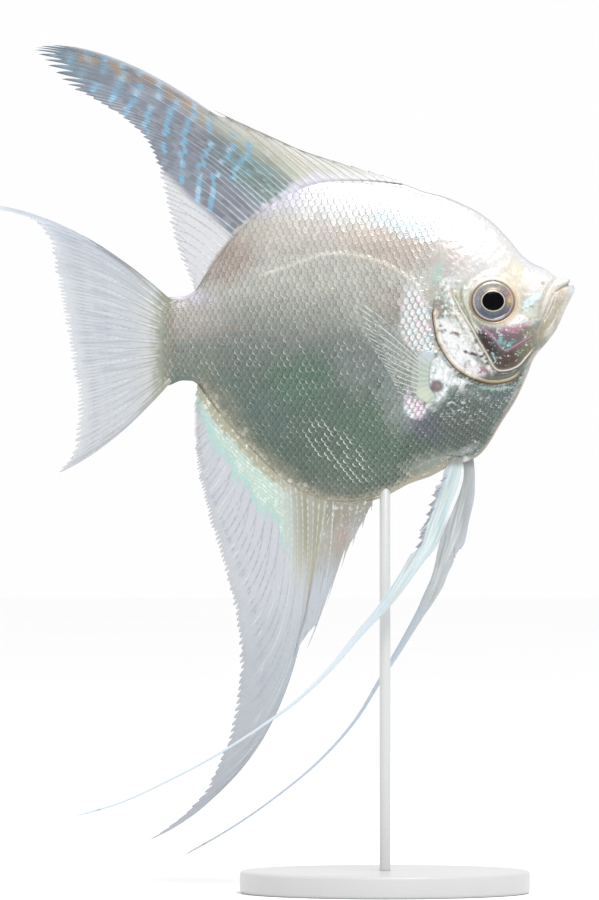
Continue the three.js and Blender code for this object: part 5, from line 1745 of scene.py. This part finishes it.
# Pelvic fins, close to the solids' own: centre line (x, y, z), and half widths (share, half width).
# torn is the edge that is torn, how deep, and the shares between which it is; the rest are colours.
PELVIC_RIGHT = {
    "line": [(14.5, -1.3, 87.3), (13.5, -2.3, 83.6), (11.9, -3.3, 79.6), (9.9, -4.2, 74.4),
             (8.2, -4.8, 69.8), (5.8, -5.3, 66.0), (2.7, -5.7, 61.4), (-0.5, -6.1, 57.2),
             (-5.0, -6.6, 52.2), (-11.0, -7.1, 45.0), (-17.0, -7.4, 39.2), (-25.0, -7.5, 33.3),
             (-33.0, -7.3, 28.2), (-43.0, -6.8, 22.8), (-53.0, -6.0, 18.2), (-61.6, -5.4, 15.6)],
    "half": [(0, 0.9), (0.012, 1.5), (0.035, 2.2), (0.07, 2.6), (0.13, 2.4), (0.165, 2.1), (0.2, 1.5),
             (0.28, 1.15), (0.33, 0.85), (0.42, 0.6), (0.5, 0.36), (0.7, 0.24), (1, 0.18)],
    "torn": (-1, 0.55, 0.02, 0.185),
    "tone": (216, 234, 238), "thread": (216, 228, 236), "vein": (176, 204, 214),
    "front": (252, 253, 254), "warm": (206, 196, 176), "torn_tone": (204, 204, 218),
}
PELVIC_LEFT = {
    "line": [(16.5, 1.3, 87.8), (15.9, 2.8, 80.6), (14.7, 4.2, 75.6), (13.4, 5.0, 70.6), (11.9, 5.6, 66.6),
             (10.6, 6.1, 62.6), (8.4, 6.5, 58.2), (4.1, 7.2, 50.6), (-0.8, 7.9, 42.6), (-5.7, 8.4, 34.6),
             (-12.7, 8.8, 26.6), (-22.3, 8.5, 18.6), (-31.0, 7.8, 12.6), (-40.0, 7.0, 7.4)],
    "half": [(0, 1.1), (0.03, 1.8), (0.08, 2.3), (0.15, 2.6), (0.19, 2.1), (0.23, 1.5), (0.29, 1.25),
             (0.33, 0.9), (0.42, 0.6), (0.52, 0.36), (0.7, 0.24), (1, 0.18)],
    "torn": (1, 0.3, 0.15, 0.2),
    "tone": (208, 214, 217), "thread": (200, 211, 224), "vein": (182, 192, 197),
    "front": (218, 222, 230), "warm": (180, 180, 166), "torn_tone": (206, 212, 220),
}


def space_curve(points, count):
    """A smooth line through (x, y, z) points, evenly divided by its length."""
    p = np.array(points, float)
    knots = np.concatenate([[0], np.cumsum(np.linalg.norm(np.diff(p, axis=0), axis=1))])
    slope = np.gradient(p, knots, axis=0)
    v = np.linspace(0, knots[-1], 2000)
    i = np.clip(np.searchsorted(knots, v, side="right") - 1, 0, len(p) - 2)
    width = (knots[i + 1] - knots[i])[:, None]
    t = (v - knots[i])[:, None] / width
    fine = (
        (2 * t**3 - 3 * t**2 + 1) * p[i] + (t**3 - 2 * t**2 + t) * width * slope[i]
        + (3 * t**2 - 2 * t**3) * p[i + 1] + (t**3 - t**2) * width * slope[i + 1]
    )
    along = np.concatenate([[0], np.cumsum(np.linalg.norm(np.diff(fine, axis=0), axis=1))])
    even = np.linspace(0, along[-1], count)
    return np.stack([np.interp(even, along, fine[:, k]) for k in range(3)], -1)


def build_pelvic(side, spec, looks):
    """A pelvic fin: a fan of rays with one torn edge, which draws out into a long thread."""
    share = np.concatenate([np.linspace(0, 0.34, 240, endpoint=False), np.linspace(0.34, 1, 180)])
    rows, sides = len(share), 72
    even = space_curve(spec["line"], 1200)
    even_share = np.linspace(0, 1, len(even))
    line = np.stack([np.interp(share, even_share, even[:, k]) for k in range(3)], -1)
    along = np.gradient(line, share, axis=0)
    across = np.stack([-along[:, 2], along[:, 0]], -1)
    across /= np.linalg.norm(across, axis=1, keepdims=True)
    pointed = np.where(share > 0.985, np.sqrt(np.clip((1 - share) / 0.015, 0.02, 1)), 1)
    wide = through(spec["half"])(share) * pointed
    thick = through([(0, 0.5), (0.03, 0.3), (0.2, 0.2), (0.36, 0.22), (0.7, 0.17), (1, 0.14)])(share)
    turn = np.linspace(0, 2 * math.pi, sides, endpoint=False)
    u = np.cos(turn)[None] * np.ones((rows, 1))
    s = np.repeat(share[:, None], sides, 1)
    blade = smooth(0.36, 0.24, s)
    rear, depth, start, end = spec["torn"]
    saw = (share - start) * 62 + 0.35 * np.sin(share * 310)
    spike = saw - np.floor(saw)
    uneven = 0.55 + 0.75 * luck_of(np.floor(saw).astype(np.int64) + 50, 95)
    torn = depth * (1 - spike**2.6) * uneven
    torn = torn * smooth(start, start + 0.02, share) * smooth(end, end - 0.02, share)
    pulled = np.where(u * rear > 0, 1 - np.clip(torn, 0, 0.8)[:, None] * smooth(0.0, 1.0, u * rear), 1)
    ribs = 0.5 + 0.5 * np.cos(11 * math.pi * u)
    swell = 1 + 0.3 * blade * (ribs - 0.5)
    way = along[:, [0, 2]] / np.linalg.norm(along[:, [0, 2]], axis=1, keepdims=True)
    lean = 2.4 * smooth(0.3, 1.0, u * rear) * blade * smooth(0.0, 0.06, s)
    x = line[:, :1] + across[:, :1] * wide[:, None] * u * pulled + way[:, :1] * lean
    z = line[:, 2:] + across[:, 1:] * wide[:, None] * u * pulled + way[:, 1:] * lean
    y = line[:, 1:2] + thick[:, None] * swell * np.sin(turn)[None]
    points = np.stack([x, y, z], -1)
    colour = np.broadcast_to(rgb(*spec["tone"]), x.shape + (3,))
    colour = mixed(colour, rgb(*spec["thread"]), smooth(0.2, 0.45, s))
    fibres = mottle(u * 11 + 3, s * 16, 1.0, 92) + 0.6 * mottle(u * 26, s * 26, 1.0, 93)
    colour = layered(
        colour,
        (spec["vein"], 0.75 * blade * smooth(0.1, 0.8, fibres)),
        ((250, 252, 252), 0.6 * blade * smooth(0.1, 0.8, -fibres)),
        (spec["warm"], 0.7 * blade * smooth(0.35, 0.8, mottle(u * 14, s * 14, 1.0, 94))),
    )
    threads = smooth(0.22, 0.02, ribs) * smooth(0.2, 0.04, s) * (0.6 + 0.4 * np.sin(40 * s + 9 * u))
    colour = layered(
        colour,
        ((150, 160, 152), 0.55 * threads),
        (spec["torn_tone"], 0.8 * smooth(0.45, 0.75, u * rear) * smooth(0.24, 0.16, s)),
        (spec["front"], 0.9 * smooth(0.55, 0.85, -u * rear) * smooth(0.14, 0.1, s)),
        ((150, 156, 152), 0.85 * smooth(84.6, 86.2, z)),
    )
    speck = (scatter(np.floor(s * 150).astype(np.int64), (u * 0).astype(np.int64), 96) > 0.95) * (s > 0.34)
    colour = mixed(colour, rgb(150, 156, 164), 0.5 * speck * smooth(0.6, 0.7, s))
    alpha = 0.84 + 0.16 * smooth(0.3, 0.45, s) - 0.12 * blade * ribs
    faces = quads(rows, sides, closed=True)
    caps = [np.arange(sides)[None], (rows * sides - 1 - np.arange(sides))[None]]
    v, w = np.meshgrid(share, np.linspace(0, 1, sides), indexing="ij")
    uv = np.stack([0.05 + 0.9 * w, 0.02 + 0.96 * v], -1).reshape(-1, 2)
    make(
        f"pelvic_{side}", points.reshape(-1, 3), [faces] + caps, looks,
        np.clip(with_alpha(colour, alpha), 0, 1).reshape(-1, 4), uv,
        [f"pelvic_fin_{side}", f"feeler_{side}_inner", f"feeler_{side}_outer"],
    )


# ---- eyes ---------------------------------------------------------------------------------------

PUPIL = (2.13, 1.84)  # half its length and half its height


def eye_marks(u, v):
    """Colour and shine over the eye's face, u towards the snout and v up."""
    r = np.hypot(u, v * EYE["squash"])
    angle = np.arctan2(v, u)
    pupil = np.hypot(u / PUPIL[0], v / PUPIL[1])
    colour = np.broadcast_to(rgb(116, 122, 133), u.shape + (3,)).copy()
    colour = layered(
        colour,
        ((66, 78, 98), 0.9 * smooth(0.3, -2.0, v) * smooth(1.8, 2.6, r)),
        ((150, 148, 146), 0.6 * spot(u, v, (-3.0, 0.5), (0.8, 2.2))),
        ((190, 174, 154), 0.65 * spot(u, v, (0.1, 2.7), (2.2, 0.8))),
        ((238, 214, 176), 0.5 * spot(u, v, (0.0, 2.35), (1.2, 0.4))),
        ((164, 126, 116), 0.85 * spot(u, v, (3.0, 1.6), (1.0, 1.0), -40)),
        ((234, 200, 140), 0.85 * spot(u, v, (3.35, 0.1), (0.6, 0.9))),
        ((120, 110, 112), 0.6 * spot(u, v, (2.9, -1.4), (0.8, 1.0))),
    )
    streak = mottle(angle * 7, r * 1.6, 1.0, 97) + 0.6 * mottle(angle * 16, r * 3.0, 1.0, 98)
    colour = colour * (1 + 0.2 * streak)[..., None]
    low_left = smooth(-0.3, 0.5, np.cos(angle + 2.35))
    front = smooth(0.3, 0.9, np.cos(angle + 0.1))
    colour = layered(
        colour,
        ((226, 206, 204), 0.85 * bell(r - 3.86, 0.12) * np.maximum(low_left, 0.6 * front)),
        ((190, 180, 128), 0.8 * bell(r - 3.9, 0.12) * smooth(0.2, 0.8, np.sin(angle))),
    )
    glint = bell(r - 3.62, 0.1) * spot(u, v, (1.4, -3.3), (1.5, 0.9), 30)
    colour = layered(
        colour,
        ((246, 246, 240), 0.9 * smooth(0.3, 0.6, glint)),
        ((150, 118, 92), 0.85 * smooth(4.02, 4.15, r)),
        ((80, 78, 82), 0.5 * bell(pupil - 1.22, 0.06)),
        ((238, 222, 196), 0.95 * bell(pupil - 1.08, 0.055)),
        ((5, 6, 10), smooth(1.05, 1.01, pupil)),
    )
    shine = 0.5 * smooth(1.0, 1.15, pupil) * smooth(4.1, 3.8, r)
    return np.concatenate([colour, shine[..., None]], -1)


def eye_dome(r):
    """Height of the eye over the flank around it: a shallow dome that meets the skin at its edge."""
    return 1.1 * np.clip(1 - (r / EYE["radius"]) ** 2, 0, 1) ** 0.7 - 0.2


def flank_around_eye(u, v):
    """How far out the smooth body lies beside the eye, taken as flat across it."""
    x = EYE["x"] + np.array([0.0, 3.0, -3.0, 0.0, 0.0])
    z = EYE["z"] + np.array([0.0, 0.0, 0.0, 3.0, -3.0])
    low, high = belly_at(x), back_at(x)
    out = half_thickness(x, (2 * z - high - low) / (high - low))
    return out[1:].mean() + (out[1] - out[2]) / 6 * u + (out[3] - out[4]) / 6 * v


def build_eyes():
    """An eyeball and a glassy pupil on each side, out from the flank around them."""
    iris, black = wet_eye(), pupil_glass()
    radii = np.concatenate([np.linspace(0, 2.4, 26), np.linspace(2.5, EYE["radius"], 36)])
    turns = np.linspace(0, 2 * math.pi, 120, endpoint=False)
    r, turn = np.meshgrid(radii, turns, indexing="ij")
    u, v = r * np.cos(turn), r * np.sin(turn) / EYE["squash"]
    pupil = np.hypot(u / PUPIL[0], v / PUPIL[1])
    height = eye_dome(r) - 0.25 * smooth(1.02, 1.12, pupil) * smooth(4.3, 2.6, r)
    height = np.concatenate([height, -1.5 * np.ones((1, len(turns)))])
    u, v = np.concatenate([u, u[-1:]]), np.concatenate([v, v[-1:]])
    rings = np.array([0, 0.2, 0.4, 0.6, 0.75, 0.88, 0.96, 1.0, 1.0])
    a, turn = np.meshgrid(rings, turns, indexing="ij")
    lens_u, lens_v = a * 1.03 * PUPIL[0] * np.cos(turn), a * 1.03 * PUPIL[1] * np.sin(turn)
    lens = eye_dome(np.hypot(lens_u, lens_v)) + 0.16 * np.sqrt(1.0001 - a**2) - 0.02
    lens[-1] -= 0.4
    parts = (
        ("eyeball", iris, u, v, height, eye_marks(u, v), True),
        ("pupil", black, lens_u, lens_v, lens, None, False),
    )
    for part, looks, u, v, height, colour, stands in parts:
        rows, columns = u.shape
        faces = [quads(rows, columns, closed=True), ((rows - 1) * columns + np.arange(columns))[None]]
        uv = np.stack([0.5 + u / 9, 0.5 + v / 9], -1).reshape(-1, 2)
        out = flank_around_eye(u, v) + height
        shades = None if colour is None else np.clip(colour, 0, 1).reshape(-1, 4)
        for side, name in ((-1, "right"), (1, "left")):
            points = np.stack([EYE["x"] + u, side * out, EYE["z"] + v], -1).reshape(-1, 3)
            wound = faces if side < 0 else [f[:, ::-1] for f in faces]
            stands_for = [f"eye_{name}"] if stands else ()
            make(f"{part}_{name}", points, wound, looks, shades, uv, stands_for)


# ---- the stand ----------------------------------------------------------------------------------


def turned(name, profile, looks, stands_for, sides=128):
    """A piece turned about the rod's axis, from (radius, z) points that start and end on it."""
    profile = np.array(profile, float)
    turns = np.linspace(0, 2 * math.pi, sides, endpoint=False)
    r, z = profile[1:-1, :1], profile[1:-1, 1:]
    ring = np.stack([r * np.cos(turns), r * np.sin(turns), z + 0 * turns], -1).reshape(-1, 3)
    points = np.vstack([ring, [[0, 0, profile[0, 1]], [0, 0, profile[-1, 1]]]])
    rows = len(profile) - 2
    k = np.arange(sides)
    after = (k + 1) % sides
    low = np.stack([after, k, np.full(sides, len(points) - 2)], -1)
    high = (rows - 1) * sides + np.stack([k, after], -1)
    high = np.concatenate([high, np.full((sides, 1), len(points) - 1)], 1)
    run = np.concatenate([[0], np.cumsum(np.hypot(*np.diff(profile[1:-1], axis=0).T))])
    v, w = np.meshgrid(run / run[-1], np.linspace(0, 1, sides), indexing="ij")
    side_uv = np.stack([0.02 + 0.96 * w, 0.05 + 0.9 * v], -1).reshape(-1, 2)
    uv = np.vstack([side_uv, [[0.5, 0.02], [0.5, 0.98]]])
    faces = [quads(rows, sides, closed=True), low, high]
    make(name, points, faces, looks, None, uv, stands_for)


def arc(centre, radius, start, end):
    """Points round a centre from one angle to another, in degrees."""
    a = np.radians(np.linspace(start, end, 6))
    return [(centre[0] + radius * math.cos(v), centre[1] + radius * math.sin(v)) for v in a]


def build_stand():
    """The plate and the rod, turned to the sizes that the solids have."""
    _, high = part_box("stand_base")
    radius, top = high[0] / MM, high[2] / MM
    edge = 0.7  # radius of the plate's rounded edges
    flat = radius - 3  # radius of a ring of points on its flat faces
    profile = [(0, 0), (flat, 0)]
    profile += arc((radius - edge, edge), edge, -90, 0) + arc((radius - edge, top - edge), edge, 0, 90)
    profile += [(flat, top), (3.0, top), (0, top)]
    finish = lacquer("base_lacquer", (0.5, 0.5, 0.5), 0.42, 900.0, 0.006)
    turned("base_plate", profile, finish, ["stand_base"])
    _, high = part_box("stand_rod")
    rod, height = high[0] / MM, high[2] / MM
    profile = [(0, top), (rod, top), (rod, top + 0.2), (rod * 0.98, top + 0.4), (rod * 0.98, height - 0.4)]
    profile += [(rod * 0.6, height), (0, height)]
    finish = lacquer("rod_enamel", (0.5, 0.51, 0.51), 0.3, 1800.0, 0.004)
    turned("rod", profile, finish, ["stand_rod"], sides=48)


# ---- the room -----------------------------------------------------------------------------------


def build_room():
    """A white floor and a nearly even white sky, and one large lamp over the fish's right side."""
    bpy.ops.mesh.primitive_plane_add(size=8)
    floor = bpy.context.object
    floor.name = "floor"
    looks = Looks("floor_paper", Roughness=0.9, Specular_IOR_Level=0.1)
    tone = looks.plain(0.885, 0.885, 0.885)
    looks.set(Base_Color=looks.shaded(tone, looks.noise(6.0), 0.995, 1.005))
    floor.data.materials.append(looks.material)

    world = bpy.data.worlds.new("studio")
    bpy.context.scene.world = world
    world.use_nodes = True
    tree = world.node_tree
    sky = tree.nodes["Background"]
    place = tree.nodes.new("ShaderNodeTexCoord")
    split = tree.nodes.new("ShaderNodeSeparateXYZ")
    ramp = tree.nodes.new("ShaderNodeMapRange")
    tree.links.new(place.outputs["Generated"], split.inputs[0])
    tree.links.new(split.outputs["Z"], ramp.inputs["Value"])
    set_range(ramp, 0.05, 1.0, 0.993, 1.15)
    tree.links.new(ramp.outputs["Result"], sky.inputs["Strength"])
    sky.inputs["Color"].default_value = (1, 1, 1, 1)

    key = bpy.data.lights.new("key", "AREA")
    key.shape = "RECTANGLE"
    key.size, key.size_y = 0.5, 0.4
    key.energy = 7.0
    lamp = bpy.data.objects.new("key", key)
    lamp.location = (0.25, -0.55, 0.95)
    bpy.context.scene.collection.objects.link(lamp)
    aim(lamp, (-0.01, 0.0, 0.1))


def aim(thing, target):
    """Turn a lamp to face a point."""
    direction = Vector(target) - thing.location
    thing.rotation_euler = direction.to_track_quat("-Z", "Y").to_euler()


def build_camera():
    """A long lens, level with the middle of the view, at right angles to the fish's flank."""
    distance, view_height = 2.0, 0.180  # to the fish, and of what the picture shows of it
    camera = bpy.data.cameras.new("camera")
    camera.sensor_width = 36.0
    camera.lens = camera.sensor_width * distance / view_height
    camera.clip_start, camera.clip_end = 0.1, 20.0
    eye = bpy.data.objects.new("camera", camera)
    eye.location = (-0.0171, -distance, 0.0886)
    eye.rotation_euler = (math.pi / 2, 0, 0)
    bpy.context.scene.collection.objects.link(eye)
    bpy.context.scene.camera = eye
    bpy.context.scene.view_settings.view_transform = "Standard"


build_camera()
build_room()
skin = build_skin()
build_scales(skin)
build_fins()
feeler = membrane("fish_feeler", 0.4)
build_pelvic("right", PELVIC_RIGHT, feeler)
build_pelvic("left", PELVIC_LEFT, feeler)
build_eyes()
build_stand()
